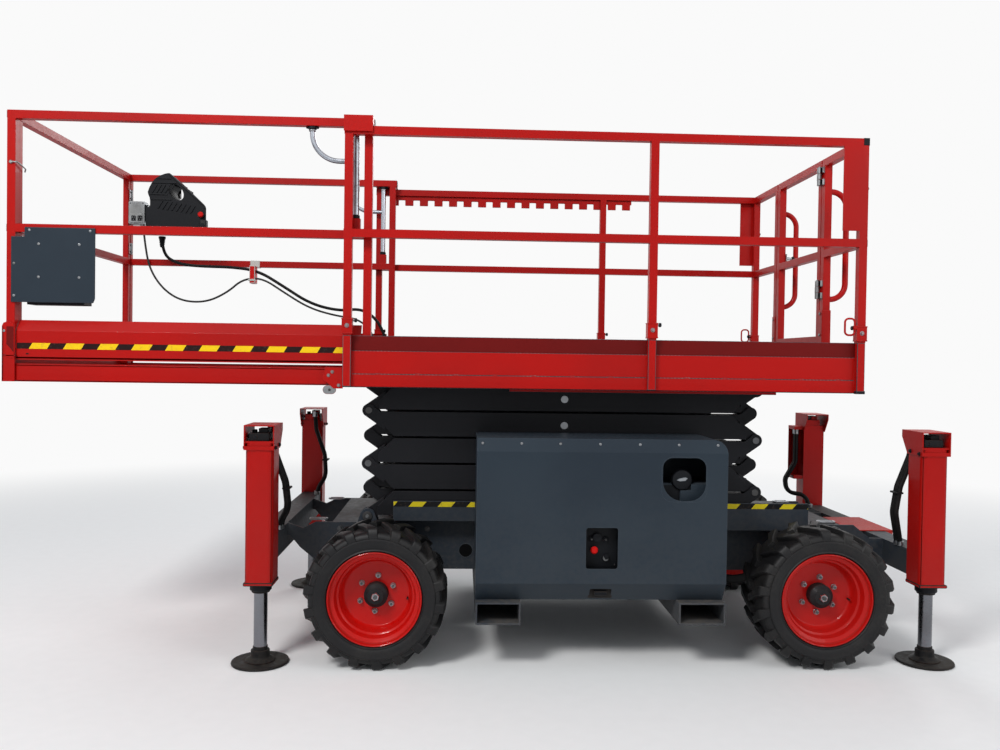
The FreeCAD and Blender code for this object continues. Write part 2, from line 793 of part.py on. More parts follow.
def on_inner_two(share):
    """Point on the second inner arms' pin line at a share of the span."""
    return FIX_X + SPAN * share, BASE_Z + LEVEL_H * (1 + share)


FOOT_X, FOOT_Z = on_inner_one(CYL_FOOT)
EYE_X, EYE_Z = on_inner_two(CYL_EYE)
LUG_IN = 88.0
LUG_T = 14.0


def foot_lugs():
    """Lugs and cross tube that hold the cylinder's foot on the lowest inner arms."""
    inner = INNER_Y - ARM_W / 2
    pieces = [bar_y(FOOT_X, FOOT_Z, 24, -inner - 5, -LUG_IN + 1), bar_y(FOOT_X, FOOT_Z, 24, LUG_IN - 1, inner + 5)]
    for side in SIDES:
        low, high = sorted((side * LUG_IN, side * (LUG_IN + LUG_T)))
        pieces.append(bar_y(FOOT_X, FOOT_Z, 44, low, high))
    pieces.append(bar_y(FOOT_X, FOOT_Z, 20, -LUG_IN - 1, LUG_IN + 1))
    return pieces


def eye_lugs():
    """Lugs beside the rod's eye, hung from a cross tube of the second inner arms."""
    inner = INNER_Y - ARM_W / 2
    pieces = [bar_y(EYE_X, EYE_Z + 72, 25, -inner - 5, inner + 5)]
    for side in SIDES:
        low, high = sorted((side * LUG_IN, side * (LUG_IN + LUG_T)))
        pieces.append(prism_xz((
            (EYE_X - 40, EYE_Z - 8),
            (EYE_X - 16, EYE_Z - 36),
            (EYE_X + 16, EYE_Z - 36),
            (EYE_X + 40, EYE_Z - 8),
            (EYE_X + 30, EYE_Z + 92),
            (EYE_X - 30, EYE_Z + 92),
        ), low, high))
    return pieces


for level in range(1, LEVELS + 1):
    outer_rises = level % 2 == 1
    sides, tubes = arm_pair(level, OUTER_Y, outer_rises, False)
    if level == LEVELS:
        tubes += roller_pair(ROLL_X, pin_z(LEVELS), OUTER_Y)
    save("outer_arms_" + str(level), fuse(sides + tubes))
    sides, tubes = arm_pair(level, INNER_Y, not outer_rises, True)
    if level == 1:
        tubes += foot_lugs()
        for side in SIDES:
            low, high = sorted((side * (INNER_Y + TONGUE_HALF), side * (OUTER_Y - ARM_W / 2 - 1)))
            tubes.append(bar_y(ROLL_X, BASE_Z, ROLLER_R, low, high))
        tubes.append(bar_y(ROLL_X, BASE_Z, PIN_R, -INNER_Y - TONGUE_HALF, INNER_Y + TONGUE_HALF))
    if level == 2:
        tubes += eye_lugs()
    save("inner_arms_" + str(level), fuse(sides + tubes))

# Lift cylinder, drawn along the line from its foot to its eye

CYL_DX = EYE_X - FOOT_X
CYL_DZ = EYE_Z - FOOT_Z
CYL_LEN = math.hypot(CYL_DX, CYL_DZ)
CYL_DIR = V(CYL_DX / CYL_LEN, 0, CYL_DZ / CYL_LEN)


def along(distance):
    """Point on the cylinder's axis at a distance from the foot pin."""
    return V(FOOT_X, 0, FOOT_Z).add(V(CYL_DIR).multiply(distance))


def barrel():
    """Barrel with a foot eye and an open bore for the rod."""
    end = CYL_LEN - 90
    foot = bar_y(FOOT_X, FOOT_Z, 40, -60, 60)
    body = Part.makeCylinder(CYL_R, end - 30, along(30), CYL_DIR)
    shape = fuse([foot, body])
    bore = Part.makeCylinder(ROD_R + RUN_GAP, end - 70, along(74), CYL_DIR)
    pin = bar_y(FOOT_X, FOOT_Z, 20 + RUN_GAP, -70, 70)
    return shape.cut(bore).cut(pin)


def rod():
    """Rod with an eye block between the second arms' lugs."""
    shaft = Part.makeCylinder(ROD_R, CYL_LEN - 110, along(80), CYL_DIR)
    eye = bar_y(EYE_X, EYE_Z, 46, -70, 70)
    pin = bar_y(EYE_X, EYE_Z, 18, -LUG_IN + 2, LUG_IN - 2)
    return fuse([shaft, eye, pin])


save("lift_barrel", barrel())
save("lift_rod", rod())
print("lift cylinder closed length", round(CYL_LEN, 1))


# Main platform

TOP_PIN_Z = pin_z(LEVELS)


def platform_deck():
    """Deck plate, side skirts, arm pivots and roller tracks."""
    deck_half = SKIRT_Y - SKIRT_T
    deck_x0 = MAIN_X0 + DECK_INSET
    strip_z0 = SKIRT_Z1 - SKIRT_STRIP_H
    pieces = [box(deck_x0, MAIN_X1, -deck_half, deck_half, DECK_TOP - DECK_T, DECK_TOP)]
    for side in SIDES:
        low, high = sorted((side * deck_half, side * SKIRT_Y))
        pieces.append(box(MAIN_X0, MAIN_X1, low, high, SKIRT_Z0, strip_z0))
        low, high = sorted((side * (deck_half - 5), side * (SKIRT_Y - SKIRT_STRIP_IN)))
        pieces.append(box(MAIN_X0, MAIN_X1, low, high, strip_z0 - 14, SKIRT_Z1))
        low, high = sorted((side * (SKIRT_Y - SKIRT_LIP_W), side * SKIRT_Y))
        pieces.append(box(MAIN_X0, MAIN_X1, low, high, SKIRT_Z0, SKIRT_Z0 + SKIRT_LIP))
        low, high = sorted((side * (INNER_Y - TONGUE_HALF), side * (INNER_Y + TONGUE_HALF)))
        lug = prism_xz((
            (FIX_X - 60, DECK_TOP - DECK_T),
            (FIX_X - 26, TOP_PIN_Z - 14),
            (FIX_X + 26, TOP_PIN_Z - 14),
            (FIX_X + 60, DECK_TOP - DECK_T),
        ), low, high)
        lug = fuse([lug, bar_y(FIX_X, TOP_PIN_Z, EAR_R, low, high)])
        pieces.append(lug.cut(bar_y(FIX_X, TOP_PIN_Z, PIN_R + RUN_GAP, low - 1, high + 1)))
        track_z = TOP_PIN_Z + ROLLER_R + 0.5
        low, high = sorted((side * (OUTER_Y - 36), side * (OUTER_Y + 62)))
        pieces.append(box(100, 1440, low, high, track_z, track_z + 8))
        low, high = sorted((side * (OUTER_Y + 54), side * (OUTER_Y + 62)))
        pieces.append(box(100, 1440, low, high, TOP_PIN_Z - 30, track_z))
        for x0 in (100, 700, 1370):
            low, high = sorted((side * (OUTER_Y - 36), side * (OUTER_Y + 62)))
            pieces.append(box(x0, x0 + 50, low, high, track_z + 8, DECK_TOP - DECK_T))
    for x0 in (deck_x0, -60, 620, 1300, MAIN_X1 - 90):
        pieces.append(box(x0, x0 + 60, -640, 640, DECK_TOP - DECK_T - 24, DECK_TOP - DECK_T))
    pieces.append(box(MAIN_X1 - 12, MAIN_X1, -deck_half, deck_half, SKIRT_Z0, DECK_TOP + 4))
    for side in SIDES:
        low, high = sorted((side * (GATE_HALF + 4), side * deck_half))
        pieces.append(box(MAIN_X1 - 12, MAIN_X1, low, high, DECK_TOP, SKIRT_Z1))
    # sockets that stand proud of the skirts
    for x in POST_XS:
        for side in SIDES:
            low, high = sorted((side * SKIRT_Y, side * (RAIL_Y + TUBE / 2)))
            pieces.append(box(x - TUBE / 2, x + TUBE / 2, low, high, SKIRT_Z0 + 4, SKIRT_Z1))
    return fuse(pieces)


save("platform_deck", platform_deck())


def main_rails():
    """Side and end rails of the main platform on their posts."""
    pieces = []
    top = TOP_RAIL_Z + TUBE / 2
    end_x = POST_XS[-1]
    for side in SIDES:
        y = side * RAIL_Y
        for z in (TOP_RAIL_Z, MID_RAIL_Z):
            pieces.append(square_tube((MAIN_X0, y, z), (end_x + TUBE / 2, y, z)))
            low = side * (GATE_HALF + 4)
            pieces.append(square_tube((end_x, low, z), (end_x, y, z)))
        for x in POST_XS:
            pieces.append(square_tube((x, y, SKIRT_Z1), (x, y, top)))
            inner, outer = sorted((side * (RAIL_Y - TUBE / 2), side * (RAIL_Y + 24)))
            pieces.append(box(x - 24, x + 24, inner, outer, SKIRT_Z1 + 8, SKIRT_Z1 + 78))
        gate_post_y = side * (GATE_HALF + 4 + TUBE / 2)
        pieces.append(square_tube((end_x, gate_post_y, SKIRT_Z1), (end_x, gate_post_y, top)))
        low, high = sorted((side * (RAIL_Y + TUBE / 2 - 6), side * (RAIL_Y + TUBE / 2)))
        pieces.append(box(end_x - 100, end_x + TUBE / 2, low, high, TOP_RAIL_Z - 415, TOP_RAIL_Z))
        handle_y = gate_post_y
        pieces.append(round_tube([
            V(end_x + 4, handle_y, TOP_RAIL_Z - 150),
            V(end_x + 104, handle_y, TOP_RAIL_Z - 150),
            V(end_x + 104, handle_y, MID_RAIL_Z - 235),
            V(end_x + 4, handle_y, MID_RAIL_Z - 235),
        ], 15, 0.8))
    for z in HINGE_ZS:
        for z0 in (z - 46, z + 16):
            pieces.append(cyl(HINGE_X, -GATE_HALF, z0, HINGE_R, 30, Z_AXIS))
            pieces.append(box(HINGE_X, end_x - TUBE / 2 + 1, -GATE_HALF - 36, -GATE_HALF, z0, z0 + 30))
        pieces.append(cyl(HINGE_X, -GATE_HALF, z - 40, 7, 80, Z_AXIS))
    return fuse(pieces)


save("main_rails", main_rails())


def lock_rack():
    """Toothed strip under the far top rail that holds the extension at set positions."""
    x0 = -600.0
    x1 = 932.0
    y0 = RAIL_Y - 5
    z1 = TOP_RAIL_Z - TUBE / 2
    strip = box(x0, x1, y0, y0 + 10, z1 - 26, z1)
    teeth = []
    x = x0
    while x < x1 - 50:
        teeth.append(box(x, x + 52, y0, y0 + 10, z1 - 60, z1 - 25))
        x += 92
    post = box(POST_XS[1] - TUBE / 2, POST_XS[1] + TUBE / 2, y0 - 1, y0 + 11, z1 - 61, z1)
    return fuse([strip] + teeth).cut(post)


save("lock_rack", lock_rack())


def gate():
    """Entry gate between the end posts, with a toe board."""
    x = POST_XS[-1]
    half = GATE_HALF - 4
    y_post = half - TUBE / 2
    pieces = []
    for side in SIDES:
        pieces.append(square_tube((x, side * y_post, DECK_TOP + 12), (x, side * y_post, TOP_RAIL_Z + TUBE / 2)))
    for z in (TOP_RAIL_Z, MID_RAIL_Z, SKIRT_Z1 + 25):
        pieces.append(square_tube((x, -half, z), (x, half, z)))
    pieces.append(box(x - 6, x + 6, -half, half, DECK_TOP + 12, SKIRT_Z1))
    for z in HINGE_ZS:
        barrel_piece = cyl(HINGE_X, -GATE_HALF, z - 15.5, HINGE_R, 31, Z_AXIS)
        leaf = box(HINGE_X, x - TUBE / 2 + 1, -GATE_HALF, -GATE_HALF + 36, z - 15.5, z + 15.5)
        knuckle_piece = fuse([barrel_piece, leaf])
        pieces.append(knuckle_piece.cut(cyl(HINGE_X, -GATE_HALF, z - 20, 7 + RUN_GAP, 40, Z_AXIS)))
    return fuse(pieces)


save("gate", gate())


# Extension

def extension_deck():
    """Roll-out deck with bevelled side walls, lower slide channels and an end plate."""
    pieces = [
        box(EXT_X0, EXT_X1, -EXT_WALL_Y, EXT_WALL_Y, EXT_DECK_Z0, EXT_DECK_Z1),
        box(EXT_X0 + 80, EXT_X1 - 240, -590, 590, EXT_DECK_Z1 - 1, EXT_DECK_Z1 + EXT_FLOOR_T),
    ]
    slide_z = SKIRT_Z0 + SKIRT_LIP + RUN_GAP
    channel_top = DECK_TOP - DECK_T - 5
    cheek_x = EXT_POST_X + TUBE / 2 + 4
    for side in SIDES:
        wall = prism_yz((
            (side * (EXT_WALL_Y - 8), EXT_DECK_Z0),
            (side * EXT_WALL_Y, EXT_DECK_Z0),
            (side * EXT_WALL_Y, EXT_LIP_Z - 50),
            (side * (EXT_WALL_Y - 34), EXT_LIP_Z),
            (side * (EXT_WALL_Y - 42), EXT_LIP_Z),
            (side * (EXT_WALL_Y - 8), EXT_LIP_Z - 53),
        ), cheek_x, EXT_INNER_POST_X - TUBE / 2 - 8)
        pieces.append(wall)
        low, high = sorted((side * (EXT_WALL_Y - 60), side * EXT_WALL_Y))
        channel = box(EXT_X0, EXT_X1 + 200, low, high, slide_z, channel_top)
        low, high = sorted((side * (EXT_WALL_Y - 61), side * (EXT_WALL_Y - 8)))
        pieces.append(channel.cut(box(EXT_X0 + 12, EXT_X1 + 201, low, high, slide_z + 8, channel_top - 8)))
        low, high = sorted((side * (EXT_WALL_Y - 60), side * EXT_WALL_Y))
        pieces.append(box(EXT_X0, EXT_X0 + 50, low, high, slide_z, EXT_DECK_Z1))
        cheek = prism_xz((
            (EXT_X0, slide_z),
            (cheek_x, slide_z),
            (cheek_x, EXT_LIP_Z - 35),
            (cheek_x - 25, EXT_LIP_Z - 10),
            (EXT_X0 + 20, EXT_LIP_Z - 10),
            (EXT_X0, EXT_LIP_Z - 30),
        ), *sorted((side * (EXT_WALL_Y + 7), side * (EXT_WALL_Y + 13))))
        pieces.append(cheek)
    half = EXT_WALL_Y + 13
    pieces.append(box(EXT_X0, EXT_X0 + 10, -half, half, slide_z, EXT_LIP_Z - 30))
    for side in SIDES:
        low, high = sorted((side * (EXT_WALL_Y - 1), side * (EXT_WALL_Y + 8)))
        pieces.append(box(EXT_X0, cheek_x - 14, low, high, slide_z, EXT_DECK_Z1))
    return fuse(pieces)


def extension_rails():
    """Rails round the extension; the top ones ride over the main top rails."""
    pieces = []
    z_top0 = EXT_TOP_Z - TUBE / 2
    z_top1 = EXT_TOP_Z + TUBE / 2
    front = EXT_POST_X - TUBE / 2
    sleeve = (EXT_INNER_POST_X - 108, EXT_INNER_POST_X + 25)
    for side in SIDES:
        y = side * EXT_Y
        pieces.append(square_tube((front, y, EXT_TOP_Z), (sleeve[1], y, EXT_TOP_Z)))
        pieces.append(square_tube((front, y, MID_RAIL_Z), (EXT_INNER_POST_X, y, MID_RAIL_Z)))
        for x in (EXT_POST_X, EXT_INNER_POST_X):
            pieces.append(square_tube((x, y, EXT_DECK_Z1), (x, y, z_top1)))
        low, high = sorted((side * (EXT_Y - TUBE / 2), side * (RAIL_Y + TUBE / 2)))
        pieces.append(box(sleeve[0], sleeve[1], low, high, z_top0, z_top1))
        low, high = sorted((side * (RAIL_Y + TUBE / 2 + 6), side * (RAIL_Y + TUBE / 2 + 11)))
        pieces.append(box(sleeve[0], sleeve[1], low, high, TOP_RAIL_Z - 8, z_top1))
        low, high = sorted((side * (RAIL_Y + TUBE / 2 - 1), side * (RAIL_Y + TUBE / 2 + 11)))
        pieces.append(box(sleeve[0], sleeve[1], low, high, z_top0, z_top1))
        low, high = sorted((side * (EXT_Y - 17), side * (EXT_Y + 17)))
        pieces.append(box(LATCH_X - 22, LATCH_X + 22, low, high, MID_RAIL_Z + TUBE / 2 - 1, LATCH_Z0))
    for z in (EXT_TOP_Z, MID_RAIL_Z):
        pieces.append(square_tube((EXT_POST_X, -EXT_Y, z), (EXT_POST_X, EXT_Y, z)))
    return fuse(pieces)


save("extension_deck", extension_deck())
save("extension_rails", extension_rails())


def lock_handles():
    """Plated pull handle and latch rod beside the inner post on each side."""
    pieces = []
    top = EXT_TOP_Z - TUBE / 2
    bend_z = EXT_TOP_Z - 177
    for side in SIDES:
        y = side * EXT_Y
        curved = round_tube([V(HANDLE_X, y, top), V(HANDLE_X, y, bend_z), V(LATCH_X - 8, y, bend_z)], 12, 0.8)
        latch = cyl(LATCH_X, y, LATCH_Z0, 14, top - LATCH_Z0, Z_AXIS)
        pieces.append(fuse([curved, latch]))
    return pieces


save("lock_handles", lock_handles())


def control_box():
    """Moulded platform control box with a guarded top, on the far rail."""
    outline = (
        (0, 0),
        (353, 0),
        (353, 150),
        (344, 170),
        (137, 356),
        (110, 352),
        (84, 342),
        (52, 320),
        (30, 291),
        (10, 242),
        (23, 204),
        (24, 154),
        (0, 151),
    )
    solid = prism_xz([(BOX_X + x, BOX_Z + z) for x, z in outline], 470, 660)
    hole = rounded_slot(BOX_X + 137, BOX_X + 222, BOX_Z + 197, BOX_Z + 257, 26, 460, 670)
    straps = [
        box(BOX_X + x, BOX_X + x + 30, 655, EXT_Y - TUBE / 2, BOX_Z + 240, BOX_Z + 270)
        for x in (60, 110)
    ]
    for x in (60, 110):
        straps.append(box(BOX_X + x, BOX_X + x + 30, EXT_Y - TUBE / 2 - 6, EXT_Y - TUBE / 2,
                          BOX_Z + 240, EXT_TOP_Z))
    return fuse([solid.cut(hole)] + straps)


save("control_box", control_box())
outlet_x = EXT_POST_X + TUBE / 2
save("outlet_box", box(outlet_x, outlet_x + 92, EXT_Y - 50, EXT_Y + 15, OUTLET_Z0, OUTLET_Z0 + 140))
plate_outer = -EXT_Y - TUBE / 2
save("mounting_plate", fuse([
    prism_xz((
        (PLATE_X0, PLATE_Z0),
        (PLATE_X1 - 8, PLATE_Z0),
        (PLATE_X1, PLATE_Z0 + 20),
        (PLATE_X1, MID_RAIL_Z + 3),
        (PLATE_X0 + 60, MID_RAIL_Z + 3),
        (PLATE_X0 + 60, MID_RAIL_Z - 40),
        (PLATE_X0, MID_RAIL_Z - 40),
    ), plate_outer - 7, plate_outer),
]))
rail_face = -EXT_Y + TUBE / 2
save("document_box", fuse([
    box(DOCUMENT_X0, DOCUMENT_X1, rail_face, rail_face + DOCUMENT_D, PLATE_Z0 - 8, MID_RAIL_Z - 40),
] + [
    box(x, x + 36, rail_face, rail_face + 6, MID_RAIL_Z - 45, MID_RAIL_Z + TUBE / 2)
    for x in (DOCUMENT_X0 + 20, DOCUMENT_X1 - 60)
]))


# Control cables

CABLE_MAIN_R = 9.0
CABLE_THIN_R = 6.0
main_cable = round_tube([
    V(-1980, 640, BOX_Z),
    V(-1980, 640, 2045),
    V(-1880, 645, 1970),
    V(-1730, 650, 1950),
    V(-1560, 655, 1945),
    V(-1400, 655, 1925),
    V(-1250, 655, 1840),
    V(-1080, 655, 1740),
    V(-900, 655, 1700),
    V(-770, 655, 1720),
    V(-680, 655, 1680),
    V(-625, 655, 1590),
    V(-605, 655, 1500),
    V(-605, 655, EXT_DECK_Z1),
], CABLE_MAIN_R)
save("control_cable", main_cable)
thin_cable = round_tube([
    V(-2110, 680, OUTLET_Z0),
    V(-2110, 680, 2090),
    V(-2075, 660, 1940),
    V(-1985, 645, 1815),
    V(-1860, 630, 1740),
    V(-1710, 630, 1735),
    V(-1590, 630, 1800),
    V(-1500, 630, 1880),
    V(-1380, 630, 1890),
    V(-1240, 630, 1800),
    V(-1090, 630, 1710),
    V(-925, 630, 1665),
    V(-765, 630, 1645),
    V(-675, 630, 1545),
    V(-675, 630, EXT_DECK_Z1),
], CABLE_THIN_R)
save("outlet_cable", thin_cable)
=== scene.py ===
"""Rough-ground scissor lift with a roll-out deck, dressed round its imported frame.

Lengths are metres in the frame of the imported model: +X points to the gate end, +Y away from
the viewer and +Z up, with the ground at zero.
"""

import functools
import logging
import math
from dataclasses import dataclass
from enum import Enum
from typing import Dict, Iterable, List, Optional, Sequence, Tuple, Union

import bmesh
import bpy
from bpy.types import ID, Material, Object
from mathutils import Matrix, Vector


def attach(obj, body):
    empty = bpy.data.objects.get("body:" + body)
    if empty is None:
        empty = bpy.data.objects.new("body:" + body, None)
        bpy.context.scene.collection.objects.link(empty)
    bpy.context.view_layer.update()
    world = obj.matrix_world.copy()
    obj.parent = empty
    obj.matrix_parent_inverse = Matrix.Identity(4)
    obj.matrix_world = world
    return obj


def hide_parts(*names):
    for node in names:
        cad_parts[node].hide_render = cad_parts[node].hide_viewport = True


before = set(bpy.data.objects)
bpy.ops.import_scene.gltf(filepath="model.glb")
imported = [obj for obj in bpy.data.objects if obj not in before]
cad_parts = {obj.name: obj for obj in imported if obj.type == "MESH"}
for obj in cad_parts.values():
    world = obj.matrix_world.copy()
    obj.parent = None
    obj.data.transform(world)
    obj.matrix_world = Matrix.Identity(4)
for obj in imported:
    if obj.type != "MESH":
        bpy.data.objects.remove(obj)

LOG = logging.getLogger("scissor_lift")
SIDES = (-1, 1)
SPECULAR = 0.14
SHARP_EDGE = math.radians(20)
SMOOTH_TURN = math.radians(34)
ROOT_THREE = 1.732
TINY = 1e-6

Point = Tuple[float, float, float]
Flat = Tuple[float, float]
Colour = Tuple[float, float, float, float]
Number = Union["Value", float]


class Axis(Enum):
    """The direction that a solid is pushed or turned about."""

    X = 0
    Y = 1
    Z = 2

    def point(self, first: float, second: float, along: float) -> Vector:
        """Give the point at two values across this axis and one along it.

        Args:
            first: The first value across.
            second: The second value across.
            along: The value along the axis.

        Returns:
            The point.
        """
        if self is Axis.X:
            return Vector((along, first, second))
        if self is Axis.Y:
            return Vector((first, along, second))
        return Vector((first, second, along))


# Shader maths


class Value:
    """A shader socket that takes part in Python arithmetic."""

    def __init__(self, graph: "Graph", socket: bpy.types.NodeSocket) -> None:
        """Keep the socket and the graph that new nodes go in."""
        self.graph = graph
        self.socket = socket

    def _math(self, operation: str, first: Number, second: Number) -> "Value":
        """Add a Math node of two values."""
        return self.graph.node("ShaderNodeMath", {"operation": operation}, {0: first, 1: second})

    def __add__(self, other: Number) -> "Value":
        """Add."""
        return self._math("ADD", self, other)

    def __radd__(self, other: Number) -> "Value":
        """Add, with the plain number first."""
        return self._math("ADD", other, self)

    def __sub__(self, other: Number) -> "Value":
        """Subtract."""
        return self._math("SUBTRACT", self, other)

    def __rsub__(self, other: Number) -> "Value":
        """Subtract from a plain number."""
        return self._math("SUBTRACT", other, self)

    def __mul__(self, other: Number) -> "Value":
        """Multiply."""
        return self._math("MULTIPLY", self, other)

    def __rmul__(self, other: Number) -> "Value":
        """Multiply, with the plain number first."""
        return self._math("MULTIPLY", other, self)

    def __truediv__(self, other: Number) -> "Value":
        """Divide."""
        return self._math("DIVIDE", self, other)

    def __mod__(self, other: Number) -> "Value":
        """Give the remainder, never negative."""
        return self._math("FLOORED_MODULO", self, other)

    def __gt__(self, other: Number) -> "Value":
        """Give 1 where this is greater and 0 elsewhere."""
        return self._math("GREATER_THAN", self, other)

    def __lt__(self, other: Number) -> "Value":
        """Give 1 where this is less and 0 elsewhere."""
        return self._math("LESS_THAN", self, other)

    def most(self, other: Number) -> "Value":
        """Give the greater of the two."""
        return self._math("MAXIMUM", self, other)

    def size(self) -> "Value":
        """Give the value without its sign."""
        return self._math("ABSOLUTE", self, 0.0)

    def between(self, low: float, high: float) -> "Value":
        """Rise smoothly from 0 at low to 1 at high."""
        return self.graph.node(
            "ShaderNodeMapRange",
            {"interpolation_type": "SMOOTHSTEP"},
            {"Value": self, "From Min": low, "From Max": high},
        )


class Graph:
    """The node tree of one material or world."""

    def __init__(self, name: str, kind: str = "materials") -> None:
        """Make an empty material or world.

        Args:
            name: Its name.
            kind: The list of the file's data that it goes in.
        """
        self.owner = getattr(bpy.data, kind).new(name)
        self.owner.use_nodes = True
        self.tree = self.owner.node_tree
        self.tree.nodes.clear()

    def node(
        self,
        kind: str,
        settings: Optional[Dict[str, object]] = None,
        inputs: Optional[Dict[Union[str, int], object]] = None,
        output: Union[str, int] = 0,
    ) -> Value:
        """Add one node.

        Args:
            kind: The node's type.
            settings: Its own settings, set before its sockets.
            inputs: Values or links of its sockets, by name or number.
            output: The output socket that is wanted.

        Returns:
            The output socket, wrapped.
        """
        made = self.tree.nodes.new(kind)
        for key, value in (settings or {}).items():
            setattr(made, key, value)
        for key, value in (inputs or {}).items():
            if isinstance(value, Value):
                self.tree.links.new(value.socket, made.inputs[key])
            else:
                made.inputs[key].default_value = value
        return Value(self, made.outputs[output])

    def place(self) -> Value:
        """Give the position on the body that the piece rides on."""
        return self.node("ShaderNodeTexCoord", output="Object")

    def ray(self, kind: str) -> Value:
        """Give 1 for the rays of a kind and 0 for others."""
        return self.node("ShaderNodeLightPath", output=kind)

    def parts(self, vector: Value) -> Tuple[Value, Value, Value]:
        """Split a vector.

        Args:
            vector: The vector.

        Returns:
            Its three values.
        """
        made = self.tree.nodes.new("ShaderNodeSeparateXYZ")
        self.tree.links.new(vector.socket, made.inputs[0])
        return tuple(Value(self, out) for out in made.outputs)

    def noise(self, scale: float, detail: float = 3.0, stretch: Point = (1.0, 1.0, 1.0)) -> Value:
        """Give smooth noise.

        Args:
            scale: Cells in a metre.
            detail: Octaves.
            stretch: Factors on the three axes.

        Returns:
            A value from about 0.3 to 0.7.
        """
        where = self.place()
        if stretch != (1.0, 1.0, 1.0):
            where = self.node(
                "ShaderNodeVectorMath", {"operation": "MULTIPLY"}, {0: where, 1: stretch}
            )
        return self.node(
            "ShaderNodeTexNoise", None, {"Vector": where, "Scale": scale, "Detail": detail}
        )

    def mix(self, factor: Number, first: object, second: object) -> Value:
        """Mix two colours."""
        return self.node(
            "ShaderNodeMix", {"data_type": "RGBA"}, {0: factor, 6: first, 7: second}, 2
        )

    def edges(self, radius: float) -> Value:
        """Find the edges.

        Args:
            radius: How far from an edge it still counts.

        Returns:
            A value that rises from 0 on flats to about 0.3 on edges.
        """
        soft = self.node("ShaderNodeBevel", {"samples": 4}, {"Radius": radius})
        hard = self.node("ShaderNodeNewGeometry", output="Normal")
        same = self.node(
            "ShaderNodeVectorMath", {"operation": "DOT_PRODUCT"}, {0: soft, 1: hard}, "Value"
        )
        return 1.0 - same

    def facing_up(self) -> Value:
        """Give how far the surface faces the sky."""
        normal = self.node("ShaderNodeNewGeometry", output="Normal")
        return self.parts(normal)[2]

    def bump(self, height: Value, strength: float, distance: float) -> Value:
        """Give a normal from heights."""
        return self.node(
            "ShaderNodeBump", None, {"Height": height, "Strength": strength, "Distance": distance}
        )

    def surface(self, **sockets: object) -> Material:
        """Finish the material with one Principled shader.

        Args:
            sockets: Its sockets, with underscores for spaces.

        Returns:
            The material.
        """
        inputs = {key.replace("_", " "): value for key, value in sockets.items()}
        inputs.setdefault("Specular IOR Level", SPECULAR)
        return self.show(self.node("ShaderNodeBsdfPrincipled", None, inputs))

    def show(self, shader: Value, output: str = "ShaderNodeOutputMaterial") -> ID:
        """Link a shader to the tree's output.

        Args:
            shader: The shader.
            output: The output node's type.

        Returns:
            The material or world.
        """
        out = self.tree.nodes.new(output)
        self.tree.links.new(shader.socket, out.inputs["Surface"])
        return self.owner


# Finishes


def tint(red: int, green: int, blue: int) -> Colour:
    """Turn a colour as a screen shows it, 0 to 255, into the shader's own values."""
    parts = (red, green, blue)
    linear = [((c / 255 + 0.055) / 1.055) ** 2.4 if c > 10 else c / 3294 for c in parts]
    return (linear[0], linear[1], linear[2], 1.0)


@dataclass(frozen=True)
class Paint:
    """Sprayed paint with orange peel, rubbed edges and settled dust."""

    name: str
    colour: Colour
    faded: Colour
    rubbed: Colour
    roughness: float = 0.34
    coat: float = 0.25
    wear: float = 0.5
    dust: float = 0.25
    grit: Colour = tint(118, 108, 96)

    def build(self) -> Material:
        """Make the material.

        Returns:
            The material.
        """
        graph = Graph(self.name)
        broad = graph.noise(1.7, 4.0)
        fine = graph.noise(46.0, 3.0)
        speck = graph.noise(210.0, 2.0)
        colour = graph.mix(broad.between(0.35, 0.68), self.colour, self.faded)
        worn = (graph.edges(0.004) * 2.6 + fine * 0.55).between(0.62, 0.86) * self.wear
        colour = graph.mix(worn, colour, self.rubbed)
        height = graph.parts(graph.place())[2]
        low = 1.0 - height.between(0.1, 1.1)
        lying = graph.facing_up().between(0.55, 0.95)
        dust = (low * 0.55 + lying * 0.45) * (broad * 0.9 + fine * 0.7).between(0.55, 1.0)
        colour = graph.mix(dust * self.dust, colour, self.grit)
        rough = self.roughness + (fine - 0.5) * 0.22 + dust * 0.3 + worn * 0.15
        normal = graph.bump(graph.noise(330.0, 1.0) * 0.7 + speck * 0.3, 0.12, 0.0006)
        return graph.surface(
            Base_Color=colour, Roughness=rough, Normal=normal, Coat_Weight=self.coat
        )


@dataclass(frozen=True)
class Metal:
    """Bare or plated metal with fine rubbing marks."""

    name: str
    colour: Colour
    stained: Colour
    roughness: float = 0.3
    scale: float = 60.0
    grain: Point = (1.0, 1.0, 1.0)

    def build(self) -> Material:
        """Make the material.

        Returns:
            The material.
        """
        graph = Graph(self.name)
        spangle = graph.noise(self.scale, 4.0, self.grain)
        broad = graph.noise(5.0, 3.0)
        colour = graph.mix(broad.between(0.4, 0.75), self.colour, self.stained)
        rough = self.roughness + (spangle - 0.5) * 0.3 + broad.between(0.45, 0.8) * 0.12
        normal = graph.bump(spangle, 0.08, 0.0004)
        return graph.surface(Base_Color=colour, Roughness=rough, Normal=normal, Metallic=1.0)


@dataclass(frozen=True)
class Rubber:
    """Tyre or hose rubber, dusty in patches and along its edges."""

    name: str
    colour: Colour
    dusty: Colour
    dust: float = 0.6
    roughness: float = 0.72
    sheen: float = SPECULAR

    def build(self) -> Material:
        """Make the material.

        Returns:
            The material.
        """
        graph = Graph(self.name)
        broad = graph.noise(6.0, 4.0)
        fine = graph.noise(120.0, 4.0)
        amount = (broad * 0.8 + fine * 0.5 + graph.edges(0.006) * 0.5).between(0.55, 1.0)
        colour = graph.mix(amount * self.dust, self.colour, self.dusty)
        rough = self.roughness + (fine - 0.5) * 0.3
        normal = graph.bump(fine, 0.25, 0.0008)
        return graph.surface(
            Base_Color=colour, Roughness=rough, Normal=normal, Specular_IOR_Level=self.sheen
        )


